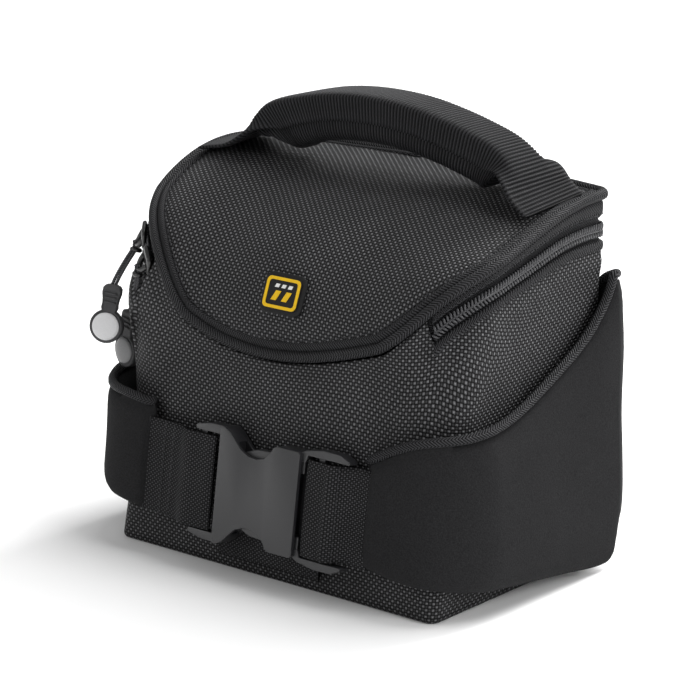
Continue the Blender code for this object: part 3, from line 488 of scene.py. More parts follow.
def surface_of(rows, uvs, caps=False, top=None):
    """A mesh from rows of points with a UV map in metres; faces turn out, or up where top names a share."""
    width = len(rows[0])
    faces = []
    for start in range(0, (len(rows) - 1) * width, width):
        faces += [(a, a + 1, a + width + 1, a + width) for a in range(start, start + width - 1)]
    if caps:
        faces.append(tuple(range(width - 1)))
        faces.append(tuple(range((len(rows) - 1) * width, len(rows) * width - 1)))
    mesh = bpy.data.meshes.new("surface")
    mesh.from_pydata([tuple(point) for row in rows for point in row], [], faces)
    flat = np.array([uv for row in uvs for uv in row], np.float32)
    corners = np.empty(len(mesh.loops), np.int32)
    mesh.loops.foreach_get("vertex_index", corners)
    mesh.uv_layers.new(name="UVMap").data.foreach_set("uv", flat[corners].ravel())
    work = bmesh.new()
    work.from_mesh(mesh)
    bmesh.ops.remove_doubles(work, verts=work.verts, dist=WELD)
    if top is None:
        bmesh.ops.recalc_face_normals(work, faces=work.faces)
    work.to_mesh(mesh)
    work.free()
    if top is not None and mesh.polygons[int(top * len(mesh.polygons))].normal.z < 0:
        mesh.flip_normals()
    mesh.shade_smooth()
    return mesh


def mesh_of(work):
    """A plain mesh from a bmesh, with its faces turned out."""
    bmesh.ops.recalc_face_normals(work, faces=work.faces)
    mesh = bpy.data.meshes.new("moulding")
    work.to_mesh(mesh)
    work.free()
    return mesh


def put(name, data):
    """A new object in the scene."""
    thing = bpy.data.objects.new(name, data)
    bpy.context.scene.collection.objects.link(thing)
    return thing


def add_piece(name, mesh, finish, nodes=()):
    """An object of the bag: it rides on the bag, takes a slot's finish and stands for its CAD nodes."""
    mesh.name = name
    mesh.materials.clear()
    mesh.materials.append(finish)
    thing = put(name, mesh)
    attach(thing, "root")
    if nodes:
        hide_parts(*nodes)
    return thing


def thicken(thing, depth):
    wall = thing.modifiers.new("wall", "SOLIDIFY")
    wall.thickness = depth
    wall.offset = -1


def bevel(thing, width):
    """Gives a piece the small radii of a moulding."""
    edges = thing.modifiers.new("edges", "BEVEL")
    edges.width = width
    edges.segments = 3
    edges.limit_method = "ANGLE"
    edges.angle_limit = math.radians(28)
    edges.harden_normals = True


def round_angles(count):
    return steps(0, 2 * math.pi, count)[:-1]


def squared(value, power):
    """A sine or cosine drawn out towards 1, for a circle with squarer corners."""
    return math.copysign(abs(value) ** power, value)


def sweep(rings, lengths, girths, caps=True):
    """A solid through closed rings of points; its UV map has the length along it and the way round it."""
    uvs = [[(length, girth) for girth in girths] for length in lengths]
    return surface_of([[*ring, ring[0]] for ring in rings], uvs, caps)


def lengths_of(path):
    found = [0.0]
    for a, b in zip(path, path[1:]):
        found.append(found[-1] + (b - a).length)
    return found


def tube(path, radius, sides=12, closed=False, flat=1.0):
    """A round bar along a path, kept level where the path is."""
    count = len(path)
    rings = []
    for k, point in enumerate(path):
        before = path[(k - 1) % count] if closed else path[max(k - 1, 0)]
        after = path[(k + 1) % count] if closed else path[min(k + 1, count - 1)]
        forward = (after - before).normalized()
        side = forward.cross(Vector((0, 0, 1)))
        side = side.normalized() if side.length > 0.2 else Vector((1, 0, 0))
        up = side.cross(forward).normalized()
        ring = []
        for turn in range(sides):
            angle = 2 * math.pi * (turn + 0.5) / sides
            ring.append(point + side * (radius * math.cos(angle)) + up * (radius * flat * math.sin(angle)))
        rings.append(ring)
    if closed:
        rings.append(rings[0])
        path = [*path, path[0]]
    return sweep(rings, lengths_of(path), steps(0, 2 * math.pi * radius, sides), caps=not closed)


def bead(length, width, height, slant=0.0):
    """A small grain-shaped solid lying along X, turned by a slant in its own plane."""
    work = bmesh.new()
    bmesh.ops.create_uvsphere(work, u_segments=6, v_segments=4, radius=0.5)
    shape = Matrix.Rotation(slant, 4, "Z") @ Matrix.Diagonal((length, width, height, 1))
    bmesh.ops.transform(work, matrix=shape @ Matrix.Rotation(math.pi / 2, 4, "Y"), verts=work.verts)
    mesh = mesh_of(work)
    mesh.shade_smooth()
    return put("bead", mesh)


def along_path_tree():
    """Geometry Nodes that set one shape at an even pitch along a path, facing the path's own outward way."""
    tree = bpy.data.node_groups.new("shapes_along_path", "GeometryNodeTree")
    for name, kind in (("Path", "Geometry"), ("Pitch", "Float"), ("Shape", "Object"), ("Finish", "Material")):
        tree.interface.new_socket(name, in_out="INPUT", socket_type="NodeSocket" + kind)
    tree.interface.new_socket("Row", in_out="OUTPUT", socket_type="NodeSocketGeometry")
    given = add(tree, "NodeGroupInput").outputs
    line = add(tree, "GeometryNodeMeshToCurve", (), {0: given["Path"]})
    even = add(tree, "GeometryNodeResampleCurve", {"mode": "LENGTH"},
               {0: line.outputs[0], "Length": given["Pitch"]})
    out = add(tree, "GeometryNodeInputNamedAttribute", {"data_type": "FLOAT_VECTOR"}, {"Name": "out"})
    tangent = add(tree, "GeometryNodeInputTangent")
    turned = add(tree, "FunctionNodeAlignRotationToVector", {"axis": "X"}, {"Vector": tangent.outputs[0]})
    faced = add(tree, "FunctionNodeAlignRotationToVector", {"axis": "Z", "pivot_axis": "X"},
                {"Rotation": turned.outputs[0], "Vector": out.outputs[0]})
    shape = add(tree, "GeometryNodeObjectInfo", (), {0: given["Shape"]})
    row = add(tree, "GeometryNodeInstanceOnPoints", (), {
        "Points": even.outputs[0], "Instance": shape.outputs["Geometry"], "Rotation": faced.outputs[0],
    })
    real = add(tree, "GeometryNodeRealizeInstances", (), {0: row.outputs[0]})
    dressed = add(tree, "GeometryNodeSetMaterial", (), {0: real.outputs[0], "Material": given["Finish"]})
    add(tree, "NodeGroupOutput", (), {0: dressed.outputs[0]})
    return tree


ALONG_PATH = along_path_tree()


def repeat(name, paths, pitch, shape, finish, nodes=()):
    """Sets copies of a small shape along paths of (point, outward way) pairs, as one plain mesh."""
    points = []
    edges = []
    for path in paths:
        edges += [(k, k + 1) for k in range(len(points), len(points) + len(path) - 1)]
        points += [tuple(point) for point, out in path]
    mesh = bpy.data.meshes.new(name + "_path")
    mesh.from_pydata(points, edges, [])
    outs = [value for path in paths for point, out in path for value in out]
    mesh.attributes.new("out", "FLOAT_VECTOR", "POINT").data.foreach_set("vector", outs)
    thing = put(name + "_path", mesh)
    row = thing.modifiers.new("row", "NODES")
    row.node_group = ALONG_PATH
    values = {"Pitch": pitch, "Shape": shape, "Finish": finish}
    for item in ALONG_PATH.interface.items_tree:
        if item.in_out == "INPUT" and item.name in values:
            row[item.identifier] = values[item.name]
    graph = bpy.context.evaluated_depsgraph_get()
    graph.update()
    made = bpy.data.meshes.new_from_object(thing.evaluated_get(graph))
    bpy.data.objects.remove(thing)
    bpy.data.meshes.remove(mesh)
    return add_piece(name, made, finish, nodes)


# Body


def pucker(k, height):
    """How far the body's cloth stands out of its plain shape."""
    side = abs(k)
    below = rim_height(k) - height
    along = reach_at(side) - REACH[ZIP_START]
    tucked = swell(below, 0.006, 0.005) * ease(along / 0.01)
    if k > 0:
        # Gathers under the start of the right zip, then a hollow and a soft ridge down the front corner
        out = 0.0011 * tucked
        gather = math.sin(2 * math.pi * (along - 0.5 * below) / GATHER_PITCH) * 0.00045
        fading = ease((along + 0.016) / 0.012) * ease((0.075 - along) / 0.03)
        out += gather * math.exp(-below / GATHER_PITCH) * fading
        out -= 0.0019 * swell(along, 0.25 * below - 0.004, 0.012) * swell(below, 0.010, 0.016)
        ridge = swell(along, 0.12 * below + 0.006, 0.009)
        out += 0.0015 * ridge * ease(below / 0.012) * ease((0.085 - below) / 0.05)
    else:
        # The slack left side swells out under its zip
        out = 0.0008 * tucked + 0.0034 * swell(side, 13, 4) * swell(below, 0.010, 0.013)
    slack_front = ease((8 - side) / 6) * math.sin(math.pi * min(max(height / TONGUE_HEIGHT, 0), 1))
    uneven = noise.noise(Vector((reach_at(side) * math.copysign(28, k), height * 22, 3.1)))
    return out + 0.0010 * slack_front + 0.0006 * uneven * ease(height / 0.02)


def drawn_in(row, share, height):
    return [Vector((point.x * share, point.y * share, height)) for point in row]


def build_body():
    places = steps(-LAST, LAST, 240)
    middle = len(places) // 2
    rows = []
    uvs = []
    for share in steps(0, 1, 56):
        spots = [(k, FOOT + (rim_height(k) - FOOT) * share) for k in places]
        rows.append([skin(k, height, pucker(k, height) * ease((1 - share) * 12)) for k, height in spots])
        # The weave runs square to the front and follows the cloth round the corners
        outline = [plan(abs(k), height) for k, height in spots]
        flat = [0.0] * len(places)
        for way in (1, -1):
            for n in range(middle + way, middle + way * (middle + 1), way):
                flat[n] = flat[n - way] + way * math.dist(outline[n - way], outline[n])
        uvs.append([(length, height) for length, (k, height) in zip(flat, spots)])
    # Under the body: a rounded foot, and a flat base drawn in to its middle
    feet = []
    foot_uvs = []
    for angle in steps(0, math.pi / 2, 3):
        height = FOOT * (1 - math.cos(angle))
        feet.append([skin(k, height, -FOOT * (1 - math.sin(angle))) for k in places])
        foot_uvs.append([(uv[0], height) for uv in uvs[0]])
    base = [drawn_in(feet[0], share, 0.0) for share in (0, 0.25, 0.5, 0.75)]
    # Over the rim, down inside and across the floor
    inside = []
    inside_uvs = []
    for depth, drop in RIM_PROFILE:
        inside.append([skin(k, rim_height(k) - drop, -depth) for k in places])
        inside_uvs.append([(uv[0], uv[1] - drop) for uv in uvs[-1]])
    inside.append([skin(k, FLOOR_HEIGHT, -BODY_WALL) for k in places])
    inside_uvs.append([(uv[0], 0.0) for uv in uvs[-1]])
    floor = [drawn_in(inside[-1], share, FLOOR_HEIGHT) for share in (0.5, 0.0)]
    rows = base + feet + rows + inside + floor
    base_uvs, floor_uvs = ([[(p.x, p.y) for p in row] for row in part] for part in (base, floor))
    mesh = surface_of(rows, base_uvs + foot_uvs + uvs + inside_uvs + floor_uvs)
    add_piece("body_cloth", mesh, BALLISTIC, ["bag_body"])


build_body()


# Lid


def lid_middle(share):
    """A point (y, z) of the lid's middle line, from its tongue to its back."""
    start = (-BASE_DEPTH / 2 + FRONT_LEAN, TONGUE_HEIGHT)
    end = (BASE_DEPTH / 2, BACK_HEIGHT + BACK_CROWN)
    bends = [tuple(a + (b - a) * part for a, b, part in zip(start, end, bend)) for bend in LID_MIDDLE]
    weights = ((1 - share) ** 3, 3 * share * (1 - share) ** 2, 3 * share * share * (1 - share), share ** 3)
    return tuple(sum(w * c[axis] for w, c in zip(weights, (start, *bends, end))) for axis in (0, 1))


MIDDLE_LINE = [Vector(lid_middle(share)) for share in steps(0, 1, 80)]
MIDDLE_LENGTHS = lengths_of(MIDDLE_LINE)


def lid_point(k, side, inset=PIPING_RADIUS + 0.0006):
    """A point of the lid: k is as on the outline and side runs from 1 at its right edge to -1 at its left."""
    share = between(LID_ROWS, reach_at(k) / REACH[LAST])
    middle = Vector((0, *lid_middle(LID_SHY[0] + (1 - LID_SHY[0] - LID_SHY[1]) * share)))
    height = edge_height(k)
    edge = Vector((*plan(k, height), height))
    if edge.x > 1e-5:
        before = Vector((*plan(max(k - 0.5, 0), height), edge_height(max(k - 0.5, 0))))
        after = Vector((*plan(min(k + 0.5, LAST), height), edge_height(min(k + 0.5, LAST))))
        along = (after - before).normalized()
        inward = middle - edge
        inward = (inward - along * inward.dot(along)).normalized()
        edge += inward * inset
    point = middle.lerp(edge, side * side)
    near = 1 - ease((1 - abs(side)) * edge.x / 0.045)
    shift = (slouch(k, height) * (1 + side) + slouch(-k, height) * (1 - side)) * (near / 2)
    return Vector((edge.x * side, point.y, point.z)) + shift


def lid_edge(k, inset, lift):
    """A point of the lid near its edge, settled: a negative k is on the left."""
    height = edge_height(k)
    near = max(abs(k), LID_START)
    point = lid_point(near, 1.0, inset) - slouch(near, height)
    point.x = math.copysign(point.x, k)
    return settle(point + slouch(k, height) + lift)


def lid_mark(point):
    """The lid's own weave place: across it, and along its middle line."""
    at = Vector((point.y, point.z))
    k = min(range(len(MIDDLE_LINE)), key=lambda n: (MIDDLE_LINE[n] - at).length_squared)
    k = min(k, len(MIDDLE_LINE) - 2)
    way = (MIDDLE_LINE[k + 1] - MIDDLE_LINE[k]).normalized()
    return point.x, MIDDLE_LENGTHS[k] + (at - MIDDLE_LINE[k]).dot(way)


def build_lid():
    sides = [math.sin(math.pi / 2 * side) for side in steps(1, -1, 72)]
    rows = [[lid_point(k, side) for side in sides] for k in steps(LID_START, LAST, 150)]
    uvs = [[lid_mark(point) for point in row] for row in rows]
    # Soft swells of the padded lid, kept off its seams
    for r, row in enumerate(rows):
        for c, point in enumerate(row):
            edge = min(ease((1 - abs(sides[c])) * 9), ease(r / 14), ease((len(rows) - 1 - r) / 10))
            puff = 0.0012 * noise.noise(Vector((point.x * 17, point.y * 19, 1.7))) + 0.0009
            row[c] = settle(point + Vector((0, -0.25, 0.97)) * (puff * edge))
    mesh = surface_of(rows, uvs, top=0.5)
    thicken(add_piece("lid_cloth", mesh, BALLISTIC, ["lid"]), LID_THICKNESS)


build_lid()


# Piping: a cord in a folded herringbone tape, with the fold's flange sewn flat beside it


def build_piping():
    places = steps(-LAST, LAST, 360)[:-1]
    path = [skin(k, edge_height(k)) for k in places]
    mesh = tube(path, PIPING_RADIUS, sides=14, closed=True)
    add_piece("piping_cord", mesh, HERRINGBONE, ["lid_piping"])
    rows = []
    for k in [*places, places[0]]:
        rows.append([lid_edge(k, inset, Vector((0, -0.3, 0.95)) * lift) for inset, lift in FLANGE])
    uvs = [[(mark, step * 0.0011) for step in range(len(FLANGE))] for mark in lengths_of([*path, path[0]])]
    thicken(add_piece("piping_flange", surface_of(rows, uvs, top=0), HERRINGBONE), 0.0008)


build_piping()


# Zip: the band over it, its tapes, its teeth and the welt under it


def strip(name, start, end, count, low, high, outer, inner, bulge, nodes=()):
    """A band of tape that follows the bag's outline round its back, rounded over its two edges."""
    across = 5
    places = steps(start, end, count)
    rings = []
    for k in map(lane, places):
        bottom, top = low(k), high(k)
        ring = []
        for share in steps(0, 1, across):
            round_off = (2 * share - 1) ** 4
            out = outer + bulge * (1 - round_off) - 0.3 * abs(outer - inner) * round_off
            ring.append(skin(k, bottom + (top - bottom) * share, out))
        rings.append([*ring, skin(k, top, inner), skin(k, bottom, inner)])
    wide = high(20) - low(20)
    girths = steps(0, wide, across) + steps(wide + 0.001, wide + 0.003, 2)
    add_piece(name, sweep(rings, [run(t) for t in places], girths), HERRINGBONE, nodes)


def band_low(k):
    return coil_height(k) + COIL_HALF + 0.0007 + 0.0014 * ease((abs(k) - ZIP_START) / 5)


def build_zip():
    start, end = ZIP_FRONT - 0.02, 2 * LAST - ZIP_START + 0.02
    behind = -BODY_WALL - GAP
    tape = behind + 0.0012
    strip("zip_band", start, end, 220, band_low, lambda k: edge_height(k) - PIPING_RADIUS + 0.0003,
          0.0, -BODY_WALL, 0.0004, ["lid_side_band"])
    strip("zip_tape_top", start - 0.6, end + 0.6, 180, lambda k: coil_height(k) + 0.0002,
          lambda k: edge_height(k) - 0.0016, tape, behind, 0.0, ["zip_tape_upper"])
    strip("zip_tape_foot", start, end, 180, lambda k: rim_height(k) - 0.0025,
          lambda k: coil_height(k) - 0.0002, tape, behind, 0.0, ["zip_tape_lower"])
    # The welt: herringbone tape folded over the body's own edge
    strip("zip_welt", start, end, 220, lambda k: rim_height(k) - 0.0030, lambda k: rim_height(k) + 0.0014,
          0.0003, -BODY_WALL - 0.0001, 0.0007)
    # Two rows of teeth that slant towards each other, and the cord between them
    for side, row, nodes in ((1, "upper", ["zip_coil"]), (-1, "lower", [])):
        path = []
        for k in map(lane, steps(start + 0.15, end - 0.15, 400)):
            near = skin(k, coil_height(k), -0.0004)
            out = (skin(k, coil_height(k), 0.0006) - near).normalized()
            up = (skin(k, coil_height(k) + 0.001, -0.0004) - near).normalized()
            path.append((near + up * (0.00135 * side) + out * 0.0006, out))
        tooth = bead(0.00320, 0.00118, 0.00150, slant=math.radians(68 * side))
        repeat(f"zip_teeth_{row}", [path], TOOTH_PITCH, tooth, COIL, nodes)
        bpy.data.objects.remove(tooth)
    path = [skin(k, coil_height(k), 0.0001) for k in map(lane, steps(start + 0.1, end - 0.1, 200))]
    add_piece("zip_core", tube(path, 0.00055, sides=8), COIL)


build_zip()


# Sliders, cords and tags


def coil_frame(share):
    """Where the zip runs on the left at a share of the half outline, and its outward, along and up ways."""
    target = share * REACH[LAST]
    low = bisect(REACH, target) - 1
    ends = []
    for n in (low, low + 1):
        x, y = plan(n, coil_height(n))
        ends.append(Vector((-x, y, coil_height(n))) + slouch(-n, coil_height(n)))
    centre = ends[0].lerp(ends[1], (target - REACH[low]) / (REACH[low + 1] - REACH[low]))
    along = (ends[1] - ends[0]).normalized()
    out = along.cross(Vector((0, 0, 1))).normalized()
    out = -out if out.x > 0 else out
    up = out.cross(along).normalized()
    return centre, out, along, -up if up.z < 0 else up


def build_slider(number):
    """A die-cast slider: a waisted top plate with raised rims, and the wire bail that its cord hangs from."""
    centre, out, along, up = coil_frame(SLIDER_SHARES[number - 1])
    rings = []
    for depth, grow in SLIDER_PROFILE:
        ring = []
        for angle in round_angles(20):
            waist = 1 - 0.16 * (1 - abs(math.cos(angle))) ** 2
            a = squared(math.cos(angle), 0.6) * 0.00475 * grow
            b = squared(math.sin(angle), 0.6) * 0.0043 * grow * waist
            ring.append(settle(centre + out * depth + along * a + up * b))
        rings.append(ring)
    mesh = sweep(rings, steps(0, 0.005, 5), steps(0, 0.020, 20))
    slider = add_piece(f"slider_{number}", mesh, ENAMEL, [f"zip_slider_{number}"])
    rounding = slider.modifiers.new("rounding", "SUBSURF")
    rounding.levels = 1
    rounding.render_levels = 1
    path = []
    for angle in steps(0, math.pi, 14):
        reach = SLIDER_THICKNESS - 0.0006 + BAIL_OUT * math.sin(angle)
        drop = BAIL_DROP * math.sin(angle)
        path.append(settle(centre + out * reach - up * drop + along * (0.0030 * math.cos(angle))))
    add_piece(f"bail_{number}", tube(path, 0.00115), ENAMEL)
    return settle(centre + out * (SLIDER_THICKNESS + BAIL_OUT) - up * BAIL_DROP)


def build_pull(number, hook):
    """A pull: its rubber tag and disc, and the doubled cord that hangs from the slider's bail."""
    neck, up, face, leaves = (Vector(value) for value in PULLS[number - 1])
    up.normalize()
    drop = (hook - neck).length
    head = neck - up * TAG_NECK
    out = (face - up * face.dot(up)).normalized()
    side = up.cross(out).normalized()
    outline = []
    for angle in steps(65, -245, 26):
        turn = math.radians(angle)
        outline.append((TAG_HALF * math.cos(turn), TAG_HALF * math.sin(turn)))
    outline += [(-wide / 1000, high / 1000) for high, wide in TAG_NECK_SHAPE]
    outline += [(wide / 1000, high / 1000) for high, wide in reversed(TAG_NECK_SHAPE)]
    rings = []
    for depth, grow in TAG_PROFILE:
        ring = []
        for x, y in outline:
            ring.append(head + side * (x * grow) + up * ((y - 0.004) * grow + 0.004) + out * (depth / 1000))
        rings.append(ring)
    mesh = sweep(rings, steps(0, 0.006, 6), steps(0, 0.0005 * len(outline), len(outline)))
    tag = add_piece(f"tag_{number}", mesh, RUBBER, [f"pull_tag_{number}"])
    # Three low ribs across the tag, to grip it by
    for n, height in enumerate((0.0098, 0.0116, 0.0134)):
        path = [head + up * height + side * x + out * 0.0016 for x in steps(-0.0024, 0.0024, 4)]
        add_piece(f"tag_rib_{number}_{n}", tube(path, 0.00042, sides=8), RUBBER)
    rings = []
    for depth, size in DISC_PROFILE:
        ring = []
        for angle in round_angles(32):
            across = side * math.cos(angle) + up * math.sin(angle)
            ring.append(head + across * (DISC_RADIUS * size) + out * depth)
        rings.append(ring)
    # The second disc takes the film with painted shade
    film = FILM if number == 1 else FILM_PAINTED_SHADE
    mesh = sweep(rings, steps(0, 0.004, 4), steps(0, 0.032, 32))
    disc = add_piece(f"disc_{number}", mesh, film, [f"pull_disc_{number}"])
    # The doubled cord: up one strand from the neck, over the bail and down the other
    start = hook + Vector((0, 0, -0.0012))
    end = neck - up * 0.0010
    strands = []
    for share in steps(0, 1, 12):
        away = start + leaves * (drop * share)
        strands.append(away.lerp(end + up * (0.006 * (1 - share)), ease(share)))
    apart = side * 0.00072
    top = hook + Vector((0, 0, 0.0010)) + out * 0.0004
    path = [point - apart for point in reversed(strands)]
    path += [top - apart * 0.8, top + apart * 0.8]
    path += [point + apart for point in strands]
    smooth = []
    for k, (a, b) in enumerate(zip(path, path[1:])):
        before, after = path[max(k - 1, 0)], path[min(k + 2, len(path) - 1)]
        for t in (0, 0.5):
            bow = (b - before) * (t * (1 - t) ** 2 / 2) - (after - a) * (t * t * (1 - t) / 2)
            smooth.append(a.lerp(b, ease(t)) + bow)
    smooth.append(path[-1])
    mesh = tube(smooth, CORD_RADIUS, sides=10)
    cord = add_piece(f"cord_{number}", mesh, CORD, [f"pull_cord_{number}"])
    # The lark's head that holds the cord to the bail
    knot = []
    for angle in round_angles(20):
        around = side * (0.0017 * math.cos(angle)) + out * (0.0011 * math.sin(angle))
        knot.append(start + Vector((0, 0, -0.0012)) + around)
    add_piece(f"cord_knot_{number}", tube(knot, 0.0009, sides=10, closed=True), ENAMEL)


for number in (1, 2):
    build_pull(number, build_slider(number))


# Handle: ribbed webbing folded down over a padded grip


def handle_line(count):
    """Even points along the handle's path, each with its upward way, its fold and its length so far."""
    shares = steps(0, 1, len(HANDLE_PATH) - 1)
    xs, zs, folds = (list(zip(shares, column)) for column in zip(*HANDLE_PATH))
    fine = []
    for share in steps(0, 1, 400):
        height = HANDLE_FOOT + between(zs, share) * HANDLE_RISE
        point = Vector((between(xs, share) * HANDLE_REACH, HANDLE_Y, height))
        fine.append((point, min(max(between(folds, share), 0), 1)))
    marks = lengths_of([point for point, fold in fine])
    found = []
    for target in steps(0, marks[-1], count):
        n = min(bisect(marks, target) - 1, len(marks) - 2)
        part = (target - marks[n]) / max(marks[n + 1] - marks[n], 1e-9)
        way = fine[min(n + 2, 400)][0] - fine[max(n - 1, 0)][0]
        up = Vector((-way.z, 0, way.x)).normalized()
        fold = fine[n][1] + (fine[n + 1][1] - fine[n][1]) * part
        found.append((fine[n][0].lerp(fine[n + 1][0], part), up, fold, target))
    return found


def handle_section(fold, half, side, thickness, rib):
    """Points of the handle's section: flat, or folded down at both edges."""
    top = []
    for k in range(25):
        across = -1 + k / 12
        arc = math.copysign(min(abs(across) * 1.6, 1), across)
        down = max(abs(across) - 0.6, 0) / 0.4
        turned = math.sin(math.pi / 2 * min(abs(across) * 1.6, 1)) * half
        bent = Vector((math.copysign(turned - 0.0006 * down, across), -0.0022 * arc ** 4 - side * down))
        flat = Vector((across * HANDLE_HALF, across * HANDLE_HALF * HANDLE_TILT * (1 - fold)))
        top.append(flat.lerp(bent, fold))
    ring = []
    under = []
    for k, point in enumerate(top):
        along = (top[min(k + 1, 24)] - top[max(k - 1, 0)]).normalized()
        out = Vector((-along.y, along.x))
        edge = ease(min(k, 24 - k) / 2)
        ring.append(point + out * (rib * edge))
        under.append(point - out * (thickness * (0.5 + 0.5 * edge) + rib * 0.3))
    return ring + under[::-1]


def build_handle():
    line = handle_line(720)
    rings = []
    for point, up, fold, length in line:
        rib = 0.00022 * math.sin(2 * math.pi * length / RIB_PITCH)
        section = handle_section(ease(fold), GRIP_HALF, GRIP_SIDE, HANDLE_THICKNESS, rib)
        rings.append([settle(point + Vector((0, s.x, 0)) + up * s.y) for s in section])
    girths = [0.0013 * k for k in range(25)] + [0.034 + 0.0013 * k for k in range(26)]
    mesh = sweep(rings, [entry[3] for entry in line], girths)
    add_piece("handle_top_webbing", mesh, GROSGRAIN, ["handle_webbing"])
    # The padded grip under it, wrapped in the same webbing
    padded = [entry for entry in line if entry[2] >= 0.25]
    rings = []
    half = GRIP_HALF - HANDLE_THICKNESS - 0.0004
    for point, up, fold, length in padded:
        size = ease((fold - 0.20) / 0.6)
        rib = 0.00020 * math.sin(2 * math.pi * length / RIB_PITCH)
        ring = []
        for angle in round_angles(28):
            a = squared(math.cos(angle), 0.45) * (half + 0.0006 * size + rib)
            b = squared(math.sin(angle), 0.7) * (0.0080 + rib) - 0.0116
            b = b * (0.35 + 0.65 * size) - 0.0008 * (1 - size)
            ring.append(settle(point + Vector((0, a, 0)) + up * b))
        rings.append(ring)
    mesh = sweep(rings, [entry[3] for entry in padded], steps(0, 0.042, 28))
    add_piece("handle_grip_pad", mesh, GROSGRAIN, ["handle_grip"])


build_handle()


# Belt: foam wings, their binding, webbing and buckle


def belt_point(reach, height, out):
    """A point of the belt: how far round it is from the back, its height, and how far out it stands."""
    side = BASE_DEPTH / 2 + BELT_FRONT - BELT_CORNER
    arc = BELT_CORNER * math.pi / 2
    if reach <= side:
        at = Vector((BELT_HALF, BASE_DEPTH / 2 - reach))
        way = Vector((1, 0))
    elif reach <= side + arc:
        angle = (reach - side) / BELT_CORNER
        way = Vector((math.cos(angle), -math.sin(angle)))
        at = Vector((BELT_HALF - BELT_CORNER, BELT_CORNER - BELT_FRONT)) + way * BELT_CORNER
    else:
        at = Vector((BELT_HALF - BELT_CORNER - (reach - side - arc), -BELT_FRONT))
        way = Vector((0, -1))
    splay = way.x ** 2 * SIDE_SPLAY * (0.100 - height) + way.y ** 2 * FRONT_SPLAY * max(0.060 - height, 0)
    at = at + way * (BELT_STAND_OFF + max(splay, 0) + out)
    return Vector((at.x, at.y, height))


def wing_heights(reach, left):
    share = reach / WING_END
    top = between(WING_TOP, share)
    bottom = between(WING_BOTTOM, share)
    if left:
        top -= between(LEFT_DROP, share)
        bottom += between(LEFT_LIFT, share)
    return top * WING_HEIGHT, bottom * WING_HEIGHT


def wing_out(reach, left):
    return max(between(LEFT_OUT, reach / WING_END), 0) * WING_HEIGHT if left else 0.0


def turn_in(reach, height, out):
    """A point of the wing's short rear end, which turns in behind the bag; reach is negative there."""
    bend = 0.0025
    angle = min(-reach / bend, math.pi / 2)
    way = Vector((math.cos(angle), math.sin(angle)))
    at = Vector((BELT_HALF - bend, BASE_DEPTH / 2)) + way * bend
    at.x -= max(-reach - bend * math.pi / 2, 0)
    splay = max(SIDE_SPLAY * (0.100 - height), 0) * math.cos(angle) ** 2
    at += way * (BELT_STAND_OFF * math.cos(angle) + splay + out * (0.5 + 0.5 * math.cos(angle)))
    return Vector((at.x, at.y, height))


def wing_point(reach, rear, height, out, left):
    """A point of a wing, settled: rear is negative where it has turned in behind the bag."""
    point = turn_in(rear, height, out) if rear else belt_point(reach, height, out)
    return settle(Vector((-point.x, point.y, point.z)) if left else point)


def build_wing(left):
    """A foam wing with its bound top edge; a short rear end turns in behind the bag."""
    name = "left" if left else "right"
    end = WING_END - (LEFT_SHORTER if left else 0.0)
    rings = []
    lengths = []
    edge = []
    for n in range(131):
        rear = -0.0011 * max(12 - n, 0)
        reach = end * max(n - 12, 0) / 118
        top, bottom = wing_heights(reach, left)
        top += 0.3 * rear
        if not left:
            top += 0.0055 * swell(reach, 0, 0.012) * (1 - ease(-rear / 0.010))
        bottom -= 1.2 * rear
        # The front end is sewn flat over the webbing
        closing = ease((end - reach) / 0.004)
        thick = WING_THICKNESS * (0.45 + 0.55 * closing)
        stand = wing_out(reach, left)
        lean = swell(reach, 0.006, 0.020)
        ring = []
        for face in (1, -1):
            for part in steps(0, 1, 22)[::face]:
                height = bottom + (top - bottom) * part
                out = stand + thick * (0.5 + face * 0.5 * (1 - (2 * part - 1) ** 8))
                if face == 1:
                    wave = noise.noise(Vector((reach * 30, height * 26, 5.3 if left else 2.2)))
                    out += 0.0005 * wave * closing + 0.0024 * lean * ease((height - 0.055) / 0.035)
                ring.append(wing_point(reach, rear, height, out, left))
        rings.append(ring)
        lengths.append(reach + rear)
        slope = (wing_heights(reach + 0.001, left)[0] - wing_heights(max(reach - 0.001, 0), left)[0]) / 0.002
        rise = (BINDING_RADIUS + GAP) * min(math.hypot(1, slope), 1.5) * 0.75
        edge.append(wing_point(reach, rear, top + rise, stand + thick / 2 + 0.0012 * lean, left))
    mesh = sweep(rings, lengths, [0.003 * k for k in range(len(rings[0]) + 1)])
    add_piece(f"wing_{name}_foam", mesh, FOAM, [f"wing_{name}"])
    mesh = tube(edge[1:], BINDING_RADIUS, flat=0.95)
    add_piece(f"wing_{name}_edge", mesh, HERRINGBONE, [f"wing_binding_{name}"])


for left in (False, True):
    build_wing(left)


def ribbon(name, path, heights, lean, node):
    """Webbing on edge along a path of (x, y) points, with rounded selvedges."""
    count, across = 40, 16
    marks = lengths_of([Vector(point) for point in path])
    xs, ys = (list(zip(marks, column)) for column in zip(*path))
    fine = [Vector((between(xs, length), between(ys, length))) for length in steps(0, marks[-1], count)]
    rings = []
    for n, point in enumerate(fine):
        along = (fine[min(n + 1, count)] - fine[max(n - 1, 0)]).normalized()
        side = Vector((-along.y, along.x))
        ring = []
        for face in (1, -1):
            for step in steps(0, 1, across)[::face]:
                height = heights[0] + (heights[1] - heights[0]) * step
                at = point + side * (STRAP_THICKNESS / 2 * (1 - 0.55 * (2 * step - 1) ** 10) * face)
                ring.append(Vector((at.x, at.y + lean * (height - BUCKLE_AT.z), height)))
        rings.append(ring)
    tall = heights[1] - heights[0]
    girths = steps(0, tall, across) + steps(tall, 2 * tall, across) + [2 * tall + 0.001]
    add_piece(name, sweep(rings, lengths_of(fine), girths), WEBBED, [node])


